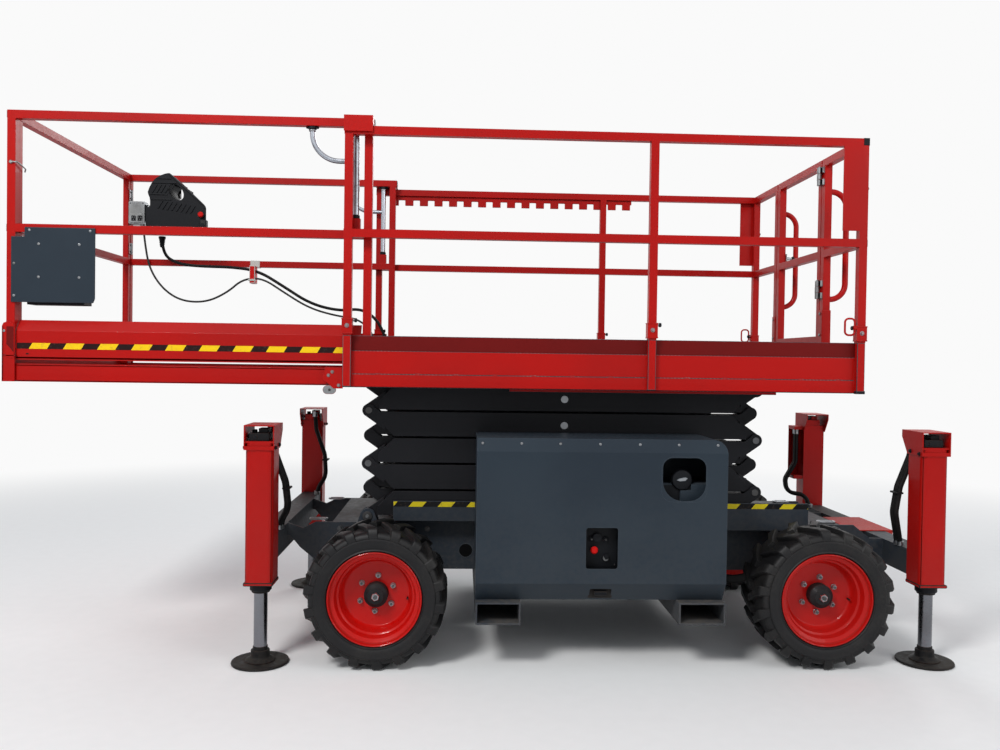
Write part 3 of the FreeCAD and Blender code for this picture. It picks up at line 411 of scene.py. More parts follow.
@dataclass(frozen=True)
class Plastic:
    """Moulded plastic with a leathery grain."""

    name: str
    colour: Colour
    rubbed: Colour
    roughness: float = 0.48
    grain: float = 420.0

    def build(self) -> Material:
        """Make the material.

        Returns:
            The material.
        """
        graph = Graph(self.name)
        broad = graph.noise(9.0, 3.0)
        pores = graph.noise(self.grain, 2.0)
        worn = (graph.edges(0.003) * 2.0 + broad * 0.4).between(0.5, 0.9)
        colour = graph.mix(worn * 0.6, self.colour, self.rubbed)
        rough = self.roughness + (broad - 0.5) * 0.25
        normal = graph.bump(pores, 0.2, 0.0006)
        return graph.surface(Base_Color=colour, Roughness=rough, Normal=normal)


@dataclass(frozen=True)
class Tread:
    """Painted plate with raised lozenges that lie two ways."""

    name: str
    colour: Colour
    rubbed: Colour
    pitch: float = 0.034
    roughness: float = 0.5

    def bar(self, along: Value, across: Value) -> Value:
        """Give one lozenge of a cell."""
        return (1.0 - (along - 0.5).size().between(0.28, 0.40)) * (
            1.0 - (across - 0.5).size().between(0.06, 0.13)
        )

    def build(self) -> Material:
        """Make the material.

        Returns:
            The material.
        """
        graph = Graph(self.name)
        x, y, _ = graph.parts(graph.place())
        along = (x + y) / self.pitch
        across = (x - y) / self.pitch
        first = self.bar(along % 1.0, across % 1.0)
        second = self.bar((across + 0.5) % 1.0, (along + 0.5) % 1.0)
        raised = first.most(second)
        broad = graph.noise(4.0, 4.0)
        fine = graph.noise(90.0, 3.0)
        colour = graph.mix(raised * (broad + fine * 0.4).between(0.5, 0.9) * 0.7, self.colour,
                           self.rubbed)
        colour = graph.mix(broad.between(0.45, 0.75) * 0.25, colour, tint(112, 104, 94))
        rough = self.roughness + (fine - 0.5) * 0.3
        normal = graph.bump(raised + fine * 0.1, 0.5, 0.0014)
        return graph.surface(Base_Color=colour, Roughness=rough, Normal=normal)


@dataclass(frozen=True)
class Hazard:
    """Leaning blocks of two colours on a tape, which run along X."""

    name: str
    light: Colour
    dark: Colour
    pitch: float
    share: float
    lean: float
    start: float = 0.0

    def build(self) -> Material:
        """Make the material.

        Returns:
            The material.
        """
        graph = Graph(self.name)
        x, _, z = graph.parts(graph.place())
        step = ((x - self.start - z * self.lean) / self.pitch) % 1.0
        scuff = graph.noise(70.0, 4.0)
        colour = graph.mix(step < self.share, self.dark, self.light)
        colour = graph.mix(scuff.between(0.56, 0.72) * 0.22, colour, tint(96, 80, 66))
        rough = 0.42 + (scuff - 0.5) * 0.4
        normal = graph.bump(scuff, 0.06, 0.0003)
        return graph.surface(Base_Color=colour, Roughness=rough, Normal=normal)


class Finish(Enum):
    """Every finish of the machine, whose material is made when it is first used."""

    RED = Paint("red_paint", tint(173, 12, 7), tint(161, 14, 10), tint(128, 40, 32), 0.36, 0.06,
                0.35, 0.08)
    WHEEL_RED = Paint("wheel_red", tint(194, 12, 7), tint(178, 14, 10), tint(120, 44, 36), 0.28,
                      0.16, 0.4, 0.03)
    GREY = Paint("slate_paint", tint(38, 47, 56), tint(42, 52, 61), tint(88, 96, 104), 0.42, 0.04,
                 0.5, 0.14)
    FRAME_GREY = Paint("frame_paint", tint(44, 51, 59), tint(50, 57, 65), tint(92, 96, 100), 0.48,
                       0.02, 0.6, 0.42)
    ARM_BLACK = Paint("arm_paint", tint(19, 20, 24), tint(24, 25, 29), tint(62, 64, 68), 0.44,
                      0.02, 0.55, 0.12)
    BLACK = Paint("black_paint", tint(17, 17, 19), tint(23, 23, 25), tint(96, 62, 48), 0.5, 0.0,
                  0.3, 0.18)
    ZINC = Metal("zinc", tint(150, 153, 157), tint(124, 125, 124), 0.38, 60.0)
    BRIGHT = Metal("bright_zinc", tint(176, 181, 190), tint(140, 143, 149), 0.26, 40.0)
    CHROME = Metal("chrome", tint(128, 130, 136), tint(108, 109, 113), 0.2, 30.0, (1.0, 1.0, 9.0))
    PIN_STEEL = Metal("pin_steel", tint(92, 93, 95), tint(66, 64, 62), 0.42, 90.0)
    TYRE = Rubber("tyre_rubber", tint(17, 17, 19), tint(78, 74, 69), 0.24, 0.52, 0.28)
    # Painted shadow: near-black that stands in for the shade inside an open hole.
    SHADOW_BLACK = Plastic("painted_shadow_black", tint(5, 5, 6), tint(8, 8, 9), 0.9)
    HOSE = Rubber("hose_rubber", tint(17, 17, 18), tint(70, 66, 62), 0.25, 0.6)
    PLASTIC = Plastic("black_moulding", tint(19, 21, 25), tint(58, 60, 64))
    BUTTON = Plastic("red_button", tint(200, 20, 16), tint(150, 30, 28), 0.35, 300.0)
    CABLE_GREY = Rubber("cable_sheath", tint(46, 46, 46), tint(96, 94, 90), 0.3, 0.55)
    PALE_PLASTIC = Plastic("pale_moulding", tint(196, 196, 190), tint(150, 150, 146), 0.42, 300.0)
    # Painted shade: a darker copy of the red paint, standing in for the shade on the skirts'
    # recessed top strips and the roll-out deck's front cheeks.
    SHADE_RED = Paint("painted_shade_red", tint(104, 9, 8), tint(94, 10, 9), tint(104, 32, 26), 0.5,
                     0.0, 0.3, 0.06)
    DECK_TREAD = Tread("deck_tread_plate", tint(58, 62, 68), tint(128, 130, 132))
    RED_TREAD = Tread("red_tread_plate", tint(178, 20, 14), tint(140, 60, 50))
    DECK_TAPE = Hazard("deck_hazard_tape", tint(238, 196, 24), tint(34, 14, 14), 0.154, 0.53, 0.6,
                       -3.147)
    GUARD_TAPE = Hazard("guard_hazard_tape", tint(216, 196, 32), tint(16, 16, 18), 0.1432, 0.47,
                        0.87, 0.0074)

    @functools.cache
    def material(self) -> Material:
        """Make the finish's material once and give it again after that."""
        return self.value.build()


# Mesh making


Ring = Sequence[bmesh.types.BMVert]


def in_scene(name: str, data: ID) -> Object:
    """Make an object of its data in the scene.

    Args:
        name: The object's name.
        data: Its mesh, curve, lamp or camera.

    Returns:
        The object.
    """
    made = bpy.data.objects.new(name, data)
    bpy.context.scene.collection.objects.link(made)
    return made


class Piece:
    """Solids gathered in one mesh, which become one named piece.

    A solid that names no finish has the piece's main one.
    """

    def __init__(self, main: Finish) -> None:
        """Start an empty mesh with its main finish."""
        self.mesh = bmesh.new()
        self.main = main
        self.finishes: List[Finish] = []

    def _close(self, verts: Iterable[bmesh.types.BMVert], finish: Optional[Finish],
               bevel: float) -> None:
        """Give new faces their finish, turn them outwards and round their edges.

        Args:
            verts: The new corners.
            finish: Their finish.
            bevel: The radius of their edges, or 0 for sharp ones.
        """
        finish = finish or self.main
        if finish not in self.finishes:
            self.finishes.append(finish)
        index = self.finishes.index(finish)
        faces = list({face for vert in verts for face in vert.link_faces})
        bmesh.ops.recalc_face_normals(self.mesh, faces=faces)
        for face in faces:
            face.material_index = index
        if bevel > 0.0:
            edges = list({edge for face in faces for edge in face.edges})
            sharp = [edge for edge in edges if edge.calc_face_angle(0.0) > SHARP_EDGE]
            bmesh.ops.bevel(self.mesh, geom=sharp, offset=bevel, offset_type="OFFSET", segments=2,
                            profile=0.5, affect="EDGES", clamp_overlap=True)

    def _ring(self, outline: Iterable[Flat], axis: Axis, along: float) -> List[bmesh.types.BMVert]:
        """Add the corners of an outline at one place along an axis."""
        return [self.mesh.verts.new(axis.point(a, b, along)) for a, b in outline]

    def _wall(self, first: Ring, second: Ring) -> None:
        """Join two rings of as many corners each."""
        for k in range(len(first)):
            j = (k + 1) % len(first)
            self.mesh.faces.new((first[k], first[j], second[j], second[k]))

    def box(self, low: Point, high: Point, bevel: float = 0.0015,
            finish: Optional[Finish] = None) -> None:
        """Add a box.

        Args:
            low: One corner.
            high: The corner across from it.
            bevel: The radius of its edges.
            finish: Its finish.
        """
        middle = [(a + b) / 2 for a, b in zip(low, high)]
        size = [abs(b - a) for a, b in zip(low, high)]
        place = Matrix.Translation(middle) @ Matrix.Diagonal((*size, 1.0))
        made = bmesh.ops.create_cube(self.mesh, size=1.0, matrix=place)
        self._close(made["verts"], finish, bevel)

    def prism(self, outline: Sequence[Flat], axis: Axis, span: Flat, bevel: float = 0.0015,
              finish: Optional[Finish] = None) -> None:
        """Push an outline along an axis.

        Args:
            outline: Its corners, as the two values across the axis.
            axis: The axis.
            span: Where it starts and ends along the axis.
            bevel: The radius of its edges.
            finish: Its finish.
        """
        rings = [self._ring(outline, axis, along) for along in span]
        for ring in rings:
            self.mesh.faces.new(ring)
        self._wall(*rings)
        self._close(rings[0] + rings[1], finish, bevel)

    def pierced(self, outers: Tuple[Sequence[Flat], Sequence[Flat]], inner: Sequence[Flat],
                axis: Axis, span: Flat, bevel: float = 0.0015,
                finish: Optional[Finish] = None) -> None:
        """Join two outlines along an axis and leave a hole right through.

        Args:
            outers: The outlines at the start and at the end, of as many corners each.
            inner: The hole's corners.
            axis: The axis.
            span: Where it starts and ends along the axis.
            bevel: The radius of its edges.
            finish: Its finish.
        """
        made = []
        for outer, along in zip(outers, span):
            pair = []
            edges = []
            for outline in (outer, inner):
                ring = self._ring(outline, axis, along)
                edges += [self.mesh.edges.new((ring[k - 1], ring[k])) for k in range(len(ring))]
                pair.append(ring)
            bmesh.ops.triangle_fill(self.mesh, edges=edges, use_beauty=True, use_dissolve=False)
            made.append(pair)
        for first, second in zip(*made):
            for k in range(len(first)):
                self.mesh.faces.new((first[k - 1], first[k], second[k], second[k - 1]))
        self._close([v for pair in made for ring in pair for v in ring], finish, bevel)

    def lathe(self, profile: Sequence[Flat], centre: Flat, axis: Axis, steps: int = 48,
              closed: bool = False, finish: Optional[Finish] = None) -> None:
        """Turn a profile about an axis.

        Args:
            profile: Its points, as radius and place along the axis.
            centre: Where the axis is, as the two values across it.
            axis: The direction of the axis.
            steps: Faces in a turn.
            closed: True if the last point joins the first one.
            finish: Its finish.
        """
        rings = []
        for radius, along in profile:
            turns = [math.tau * k / steps for k in range(steps)] if radius > TINY else [0.0]
            rings.append(self._ring([(centre[0] + radius * math.cos(turn),
                                      centre[1] + radius * math.sin(turn)) for turn in turns],
                                    axis, along))
        pairs = list(zip(rings, rings[1:]))
        if closed:
            pairs.append((rings[-1], rings[0]))
        for first, second in pairs:
            for k in range(steps):
                corners = [first[k % len(first)], first[(k + 1) % len(first)],
                           second[(k + 1) % len(second)], second[k % len(second)]]
                corners = [v for i, v in enumerate(corners) if v not in corners[:i]]
                if len(corners) > 2:
                    self.mesh.faces.new(corners)
        self._close([v for ring in rings for v in ring], finish, 0.0)

    def disc(self, radius: float, centre: Flat, axis: Axis, span: Flat, edge: float = 0.001,
             steps: int = 32, finish: Optional[Finish] = None) -> None:
        """Add a round bar or disc with softened rims.

        Args:
            radius: Its radius.
            centre: Its place as the two values across its axis.
            axis: The direction of the axis.
            span: Where it starts and ends along the axis.
            edge: The width of its softened rims.
            steps: Faces in a turn.
            finish: Its finish.
        """
        low, high = sorted(span)
        edge = min(edge, radius * 0.4, (high - low) * 0.4)
        profile = (
            (0.0, low), (radius - edge, low), (radius, low + edge),
            (radius, high - edge), (radius - edge, high), (0.0, high),
        )
        self.lathe(profile, centre, axis, steps, False, finish)

    def hexagon(self, centre: Flat, axis: Axis, span: Flat, across: float,
                finish: Optional[Finish] = None) -> None:
        """Add a hexagon head or nut.

        Args:
            centre: Its place as the two values across its axis.
            axis: The direction of the axis.
            span: Where it starts and ends along the axis.
            across: The width across its flats.
            finish: Its finish.
        """
        corner = across / ROOT_THREE
        outline = [(centre[0] + corner * math.cos(math.tau * k / 6 + 0.3),
                    centre[1] + corner * math.sin(math.tau * k / 6 + 0.3)) for k in range(6)]
        self.prism(outline, axis, span, min(0.0012, across * 0.08), finish)

    def tube(self, path: Sequence[Vector], radius: float, sides: int = 14,
             finish: Optional[Finish] = None) -> None:
        """Sweep a round bar along points that lie close together.

        Args:
            path: The points.
            radius: The bar's radius.
            sides: Faces round it.
            finish: Its finish.
        """
        rings = []
        across = Vector((0.0, 0.0, 1.0))
        if abs((path[1] - path[0]).normalized().z) > 0.9:
            across = Vector((0.0, 1.0, 0.0))
        for i, point in enumerate(path):
            ahead = path[min(i + 1, len(path) - 1)] - path[max(i - 1, 0)]
            ahead.normalize()
            side = ahead.cross(across).normalized()
            across = side.cross(ahead).normalized()
            rings.append([self.mesh.verts.new(
                point + side * radius * math.cos(math.tau * k / sides)
                + across * radius * math.sin(math.tau * k / sides)
            ) for k in range(sides)])
        self.loft(rings, finish)

    def loft(self, rings: Sequence[Ring], finish: Optional[Finish] = None) -> None:
        """Join rings of as many corners each to a bar with closed ends.

        Args:
            rings: The rings in order.
            finish: Its finish.
        """
        for first, second in zip(rings, rings[1:]):
            self._wall(first, second)
        self.mesh.faces.new(rings[0])
        self.mesh.faces.new(rings[-1])
        self._close([v for ring in rings for v in ring], finish, 0.0)

    def place(self, name: str, body: str, slot: str, *replaced: str) -> Object:
        """Turn the mesh into an object that rides on a body.

        Args:
            name: The piece's name.
            body: The body that it rides on.
            slot: The record's material slot; not used.
            replaced: The nodes that it stands for.

        Returns:
            The object.
        """
        data = bpy.data.meshes.new(name)
        self.mesh.to_mesh(data)
        self.mesh.free()
        for finish in self.finishes:
            data.materials.append(finish.material())
        for polygon in data.polygons:
            polygon.use_smooth = True
        data.set_sharp_from_angle(angle=SMOOTH_TURN)
        made = in_scene(name, data)
        made.modifiers.new("normals", "WEIGHTED_NORMAL").keep_sharp = True
        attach(made, body)
        if replaced:
            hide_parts(*replaced)
        return made


def bent(points: Sequence[Point], radius: float, steps: int = 8) -> List[Vector]:
    """Give a rigid tube's centreline, with an arc at each corner.

    Args:
        points: The corners.
        radius: The radius of the arcs.
        steps: Points in an arc.

    Returns:
        The centreline's points.
    """
    corners = [Vector(p) for p in points]
    path = [corners[0]]
    for before, corner, after in zip(corners, corners[1:], corners[2:]):
        back = (before - corner).normalized()
        ahead = (after - corner).normalized()
        half = back.angle(ahead) / 2
        reach = radius / math.tan(half)
        centre = corner + (back + ahead).normalized() * (radius / math.sin(half))
        start = (corner + back * reach - centre).normalized()
        end = (corner + ahead * reach - centre).normalized()
        path += [centre + start.slerp(end, k / steps) * radius for k in range(steps + 1)]
    path.append(corners[-1])
    return path


def dress(names: Iterable[str], finish: Finish, edge: float = 0.002, turn: float = 35.0) -> None:
    """Give nodes their material and rounded edges.

    Args:
        names: The nodes.
        finish: The material.
        edge: The radius of the edges.
        turn: The smallest angle, in degrees, that counts as an edge.
    """
    for name in names:
        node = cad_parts[name]
        node.data.materials.clear()
        node.data.materials.append(finish.material())
        node.modifiers.new("weld", "WELD").merge_threshold = 0.00005
        flat = node.modifiers.new("flat", "DECIMATE")
        flat.decimate_type = "DISSOLVE"
        flat.angle_limit = math.radians(1.0)
        rounded = node.modifiers.new("edges", "BEVEL")
        rounded.width = edge
        rounded.segments = 2
        rounded.angle_limit = math.radians(turn)
        rounded.use_clamp_overlap = True
        rounded.harden_normals = True
        node.modifiers.new("normals", "WEIGHTED_NORMAL").keep_sharp = True


# Studio


@dataclass
class Studio:
    """Floor, lamps and the camera at the photo's viewing angle."""

    eye: Point = (-0.1371, -4.8632, 1.4227)
    focal_pixels: float = 882.8
    image_width: float = 1000.0
    sensor: float = 36.0
    yaw: float = 2.4863
    pitch: float = 0.9315
    roll: float = 0.8073
    floor_size: float = 60.0
    fade: Flat = (9.0, 70.0)
    aim: Point = (0.0, 0.0, 1.0)
    lamps: Tuple[Tuple[str, Point, float, float], ...] = (
        ("key", (-3.6, -6.0, 6.8), 2.4, 440.0),
        ("fill", (5.4, -4.4, 3.6), 4.0, 90.0),
        ("back", (2.0, 6.5, 5.5), 4.0, 220.0),
    )
    pale: Colour = tint(250, 250, 250)
    sky: Colour = (0.86, 0.90, 0.96, 1.0)
    sky_strength: float = 0.46

    def build(self) -> None:
        """Make the floor, the lights, the world and the camera."""
        self.floor()
        self.lights()
        self.world()
        self.camera()

    def floor(self) -> None:
        """Add a pale floor that fades into the background far away."""
        graph = Graph("studio_floor")
        x, y, _ = graph.parts(graph.place())
        far = (x * x + y * y).between(*self.fade)
        grain = graph.noise(14.0, 4.0)
        colour = graph.mix(grain, tint(243, 243, 242), tint(248, 248, 247))
        matt = graph.node("ShaderNodeBsdfDiffuse", None, {"Color": colour})
        glow = graph.node("ShaderNodeEmission", None, {"Color": self.pale, "Strength": 1.0})
        seen = graph.ray("Is Camera Ray")
        mixed = graph.node("ShaderNodeMixShader", None, {0: far * seen, 1: matt, 2: glow})
        mesh = bmesh.new()
        bmesh.ops.create_grid(mesh, x_segments=4, y_segments=4, size=self.floor_size)
        data = bpy.data.meshes.new("studio_floor")
        mesh.to_mesh(data)
        mesh.free()
        data.materials.append(graph.show(mixed))
        in_scene("studio_floor", data)

    def lights(self) -> None:
        """Add a soft key lamp and two fills."""
        for name, place, size, power in self.lamps:
            data = bpy.data.lights.new(name, "AREA")
            data.shape = "DISK"
            data.size = size
            data.energy = power
            lamp = in_scene(name, data)
            lamp.location = place
            aim = Vector(self.aim) - Vector(place)
            lamp.rotation_euler = aim.to_track_quat("-Z", "Y").to_euler()

    def world(self) -> None:
        """Give a pale background and an even soft light."""
        graph = Graph("studio", "worlds")
        mirrored = graph.ray("Is Glossy Ray").most(graph.ray("Is Transmission Ray"))
        seen = graph.ray("Is Camera Ray").most(mirrored)
        soft = graph.node("ShaderNodeBackground", None,
                          {"Color": self.sky, "Strength": self.sky_strength})
        bright = graph.node("ShaderNodeBackground", None, {"Color": self.pale})
        mixed = graph.node("ShaderNodeMixShader", None, {0: seen, 1: soft, 2: bright})
        bpy.context.scene.world = graph.show(mixed, "ShaderNodeOutputWorld")

    def camera(self) -> None:
        """Add the camera."""
        data = bpy.data.cameras.new("camera")
        data.sensor_width = self.sensor
        data.sensor_fit = "HORIZONTAL"
        data.lens = self.focal_pixels / self.image_width * self.sensor
        data.clip_start = 0.05
        data.clip_end = 300.0
        made = in_scene("camera", data)
        yaw, pitch, roll = (math.radians(v) for v in (self.yaw, self.pitch, self.roll))
        ahead = Vector((
            math.sin(yaw) * math.cos(pitch), math.cos(yaw) * math.cos(pitch), -math.sin(pitch)
        ))
        right = ahead.cross(Vector((0.0, 0.0, 1.0))).normalized()
        right.rotate(Matrix.Rotation(-roll, 3, ahead))
        up = right.cross(ahead)
        turn = Matrix((right, up, -ahead)).transposed().to_4x4()
        made.matrix_world = Matrix.Translation(self.eye) @ turn
        bpy.context.scene.camera = made


# Wheels


@dataclass
class Wheel:
    """Lugged tyre on a deep dished rim with its hub and nuts."""

    name: str
    x: float
    side: int
    radius: float = 0.330
    width: float = 0.300
    middle: float = 0.715
    lug_height: float = 0.024
    lug_count: int = 18
    rim_radius: float = 0.2155
    back_lip: float = 0.227
    barrel_radius: float = 0.204
    rim_wall: float = 0.008
    dish: float = 0.128
    boss: float = 0.046
    hub_radius: float = 0.056
    nut_circle: float = 0.084
    nut_count: int = 6
    nut_turn: float = 0.42

    def out(self, depth: float) -> float:
        """Give the Y of a place at a depth inward from the tyre's outer face."""
        return self.side * (self.middle + self.width / 2 - depth)

    def span(self, first: float, second: float) -> Flat:
        """Give the Y of two depths."""
        return (self.out(first), self.out(second))

    def build(self) -> List[Object]:
        """Make the wheel's pieces.

        Returns:
            The tyre and the rim.
        """
        return [self.tyre(), self.rim()]

    def ring(self, *points: Flat) -> List[Flat]:
        """Turn radius and depth pairs into radius and Y pairs."""
        return [(radius, self.out(depth)) for radius, depth in points]

    def tyre(self) -> Object:
        """Make the tyre: a ringed carcass and two rows of swept lugs.

        Returns:
            The piece.
        """
        base = self.radius - self.lug_height
        rim = self.rim_radius
        bead = self.barrel_radius + 0.0005
        wide = self.width
        wall = (
            (bead, 0.027), (rim + 0.0005, 0.0207), (rim + 0.003, 0.010),
            (rim + 0.008, 0.0045), (rim + 0.013, 0.0078),
            (rim + 0.018, 0.0072), (rim + 0.025, 0.0030),
            (rim + 0.038, 0.0030), (rim + 0.050, 0.0012),
            (rim + 0.056, 0.0005), (rim + 0.060, 0.0022),
            (rim + 0.064, 0.0105),
            (base - 0.015, 0.0125), (base - 0.006, 0.021), (base - 0.002, 0.033), (base, 0.052),
        )
        lip = self.back_lip
        back = (
            (bead, 0.027), (lip + 0.0005, 0.0207), (lip + 0.003, 0.010), (lip + 0.008, 0.0045),
        ) + wall[6:]
        mirrored = tuple((radius, wide - depth) for radius, depth in reversed(back))
        piece = Piece(Finish.TYRE)
        centre = (self.x, self.radius)
        piece.lathe(self.ring(*wall, *mirrored), centre, Axis.Y, 96, True)
        for row in SIDES:
            for k in range(self.lug_count):
                turn = math.tau * (k + 0.25 * row) / self.lug_count
                self.lug(piece, turn, row, base)
        return piece.place(
            "tyre_dressed_" + self.name, "wheel_" + self.name, "tyre", "tyre_" + self.name
        )

    def lug(self, piece: Piece, turn: float, row: int, base: float) -> None:
        """Add one lug, which sweeps back from the middle and folds over the shoulder.

        Args:
            piece: The tyre.
            turn: The lug's angle.
            row: The side of the tread that it is on.
            base: The radius of the carcass.
        """
        stations = (
            (-0.006, 0.052, 0.017, 0.0, 0.020), (0.030, 0.036, 0.018, 0.001, 0.022),
            (0.070, 0.012, 0.020, 0.0, 0.024), (0.104, -0.006, 0.023, -0.001, 0.026),
            (0.126, -0.014, 0.025, -0.004, 0.024), (0.138, -0.018, 0.022, -0.015, 0.022),
            (0.1435, -0.020, 0.019, -0.034, 0.016),
        )
        rings = []
        for across, sweep, half, drop, thick in stations:
            top = min(base + self.lug_height - 0.0008 + drop, self.radius - 0.0008)
            low = top - thick - 0.006
            y = self.side * self.middle + row * across
            rise = ((low, half + 0.003), (top - 0.004, half), (top, half - 0.004))
            corners = [(level, sweep - spread) for level, spread in rise]
            corners += [(level, sweep + spread) for level, spread in reversed(rise)]
            ring = []
            for level, along in corners:
                angle = turn + along / self.radius
                ring.append(piece.mesh.verts.new(Vector((
                    self.x + level * math.cos(angle), y, self.radius + level * math.sin(angle)
                ))))
            rings.append(ring)
        piece.loft(rings)

    def rim(self) -> Object:
        """Make the rim with its rolled lips, dished disc, black hub and nuts.

        Returns:
            The piece.
        """
        inner = self.barrel_radius - self.rim_wall
        rim = self.rim_radius
        hub = self.hub_radius
        wide = self.width
        piece = Piece(Finish.ZINC)
        centre = (self.x, self.radius)
        piece.lathe(self.ring(
            (hub, self.dish), (inner - 0.050, self.dish),
            (inner - 0.044, self.dish - 0.002), (inner - 0.036, self.dish - 0.012),
            (inner - 0.031, self.dish - 0.028), (inner - 0.029, 0.080), (inner - 0.026, 0.074),
            (inner - 0.018, 0.070), (inner - 0.015, 0.066), (inner - 0.012, 0.044),
            (inner - 0.009, 0.038), (inner + 0.001, 0.033), (inner + 0.006, 0.030),
            (rim - 0.013, 0.0275), (rim - 0.008, 0.022),
            (rim - 0.006, 0.0085), (rim - 0.003, 0.0065),
            (rim, 0.0085), (rim, 0.019),
            (self.barrel_radius, 0.0255), (self.barrel_radius, wide - 0.0255),
            (self.back_lip, wide - 0.019), (self.back_lip, wide - 0.012),
            (inner, wide - 0.012), (inner, self.dish + 0.010),
            (inner - 0.04, self.dish + 0.012), (hub, self.dish + 0.012),
        ), centre, Axis.Y, 96, True, Finish.WHEEL_RED)
        piece.lathe(self.ring(
            (0.0, self.dish + self.boss), (hub + 0.024, self.dish + self.boss),
            (hub + 0.024, self.dish + 0.012), (hub - 0.0005, self.dish + 0.012),
            (hub - 0.0005, 0.084), (hub - 0.006, 0.078),
            (0.040, 0.072), (0.036, 0.066), (0.022, 0.064), (0.0, 0.064),
        ), centre, Axis.Y, 48, finish=Finish.ARM_BLACK)
        piece.hexagon(centre, Axis.Y, self.span(0.066, 0.050), 0.032)
        piece.disc(0.009, centre, Axis.Y, self.span(0.060, 0.041), finish=Finish.PIN_STEEL)
        for k in range(self.nut_count):
            angle = math.tau * (k + self.nut_turn) / self.nut_count
            place = (
                centre[0] + self.nut_circle * math.cos(angle),
                centre[1] + self.nut_circle * math.sin(angle),
            )
            piece.disc(0.0135, place, Axis.Y, self.span(self.dish + 0.001, self.dish - 0.003))
            piece.hexagon(place, Axis.Y, self.span(self.dish - 0.002, self.dish - 0.015), 0.021)
            piece.disc(0.006, place, Axis.Y, self.span(self.dish - 0.014, self.dish - 0.022),
                       0.001, 16, Finish.PIN_STEEL)
        valve = (centre[0] + (inner - 0.052), centre[1] - 0.02)
        piece.disc(0.004, valve, Axis.Y, self.span(self.dish, self.dish - 0.028), 0.001, 12,
                   Finish.HOSE)
        return piece.place(
            "rim_dressed_" + self.name, "wheel_" + self.name, "rim", "rim_" + self.name
        )


# Fastenings


def screw(
    piece: Piece, centre: Flat, axis: Axis, face: float, out: int, radius: float,
    finish: Optional[Finish] = None,
) -> None:
    """Add a domed screw head with a socket.

    Args:
        piece: The piece that it is gathered in.
        centre: Its place as the two values across its axis.
        axis: The direction that it stands out in.
        face: Where the face that it sits on is along the axis.
        out: 1 or -1, the sense of the direction.
        radius: The head's radius.
        finish: Its material.
    """
    profile = (
        (0.0, face + out * radius * 0.25), (radius * 0.36, face + out * radius * 0.25),
        (radius * 0.38, face + out * radius * 0.56), (radius * 0.72, face + out * radius * 0.50),
        (radius, face + out * radius * 0.20), (radius, face - out * 0.0006),
    )
    piece.lathe(profile, centre, axis, 20, False, finish)


def bolt(
    piece: Piece, centre: Flat, axis: Axis, face: float, out: int, across: float,
    finish: Optional[Finish] = None,
) -> None:
    """Add a hexagon head on its washer.

    Args:
        piece: The piece that it is gathered in.
        centre: Its place as the two values across its axis.
        axis: The direction that it stands out in.
        face: Where the face that it sits on is along the axis.
        out: 1 or -1, the sense of the direction.
        across: The width across the flats.
        finish: Its material.
    """
    washer = (face - out * 0.0006, face + out * across * 0.13)
    piece.disc(across * 0.8, centre, axis, washer, 0.0006, 24, finish)
    piece.hexagon(centre, axis, (face, face + out * across * 0.66), across, finish)


# Platform


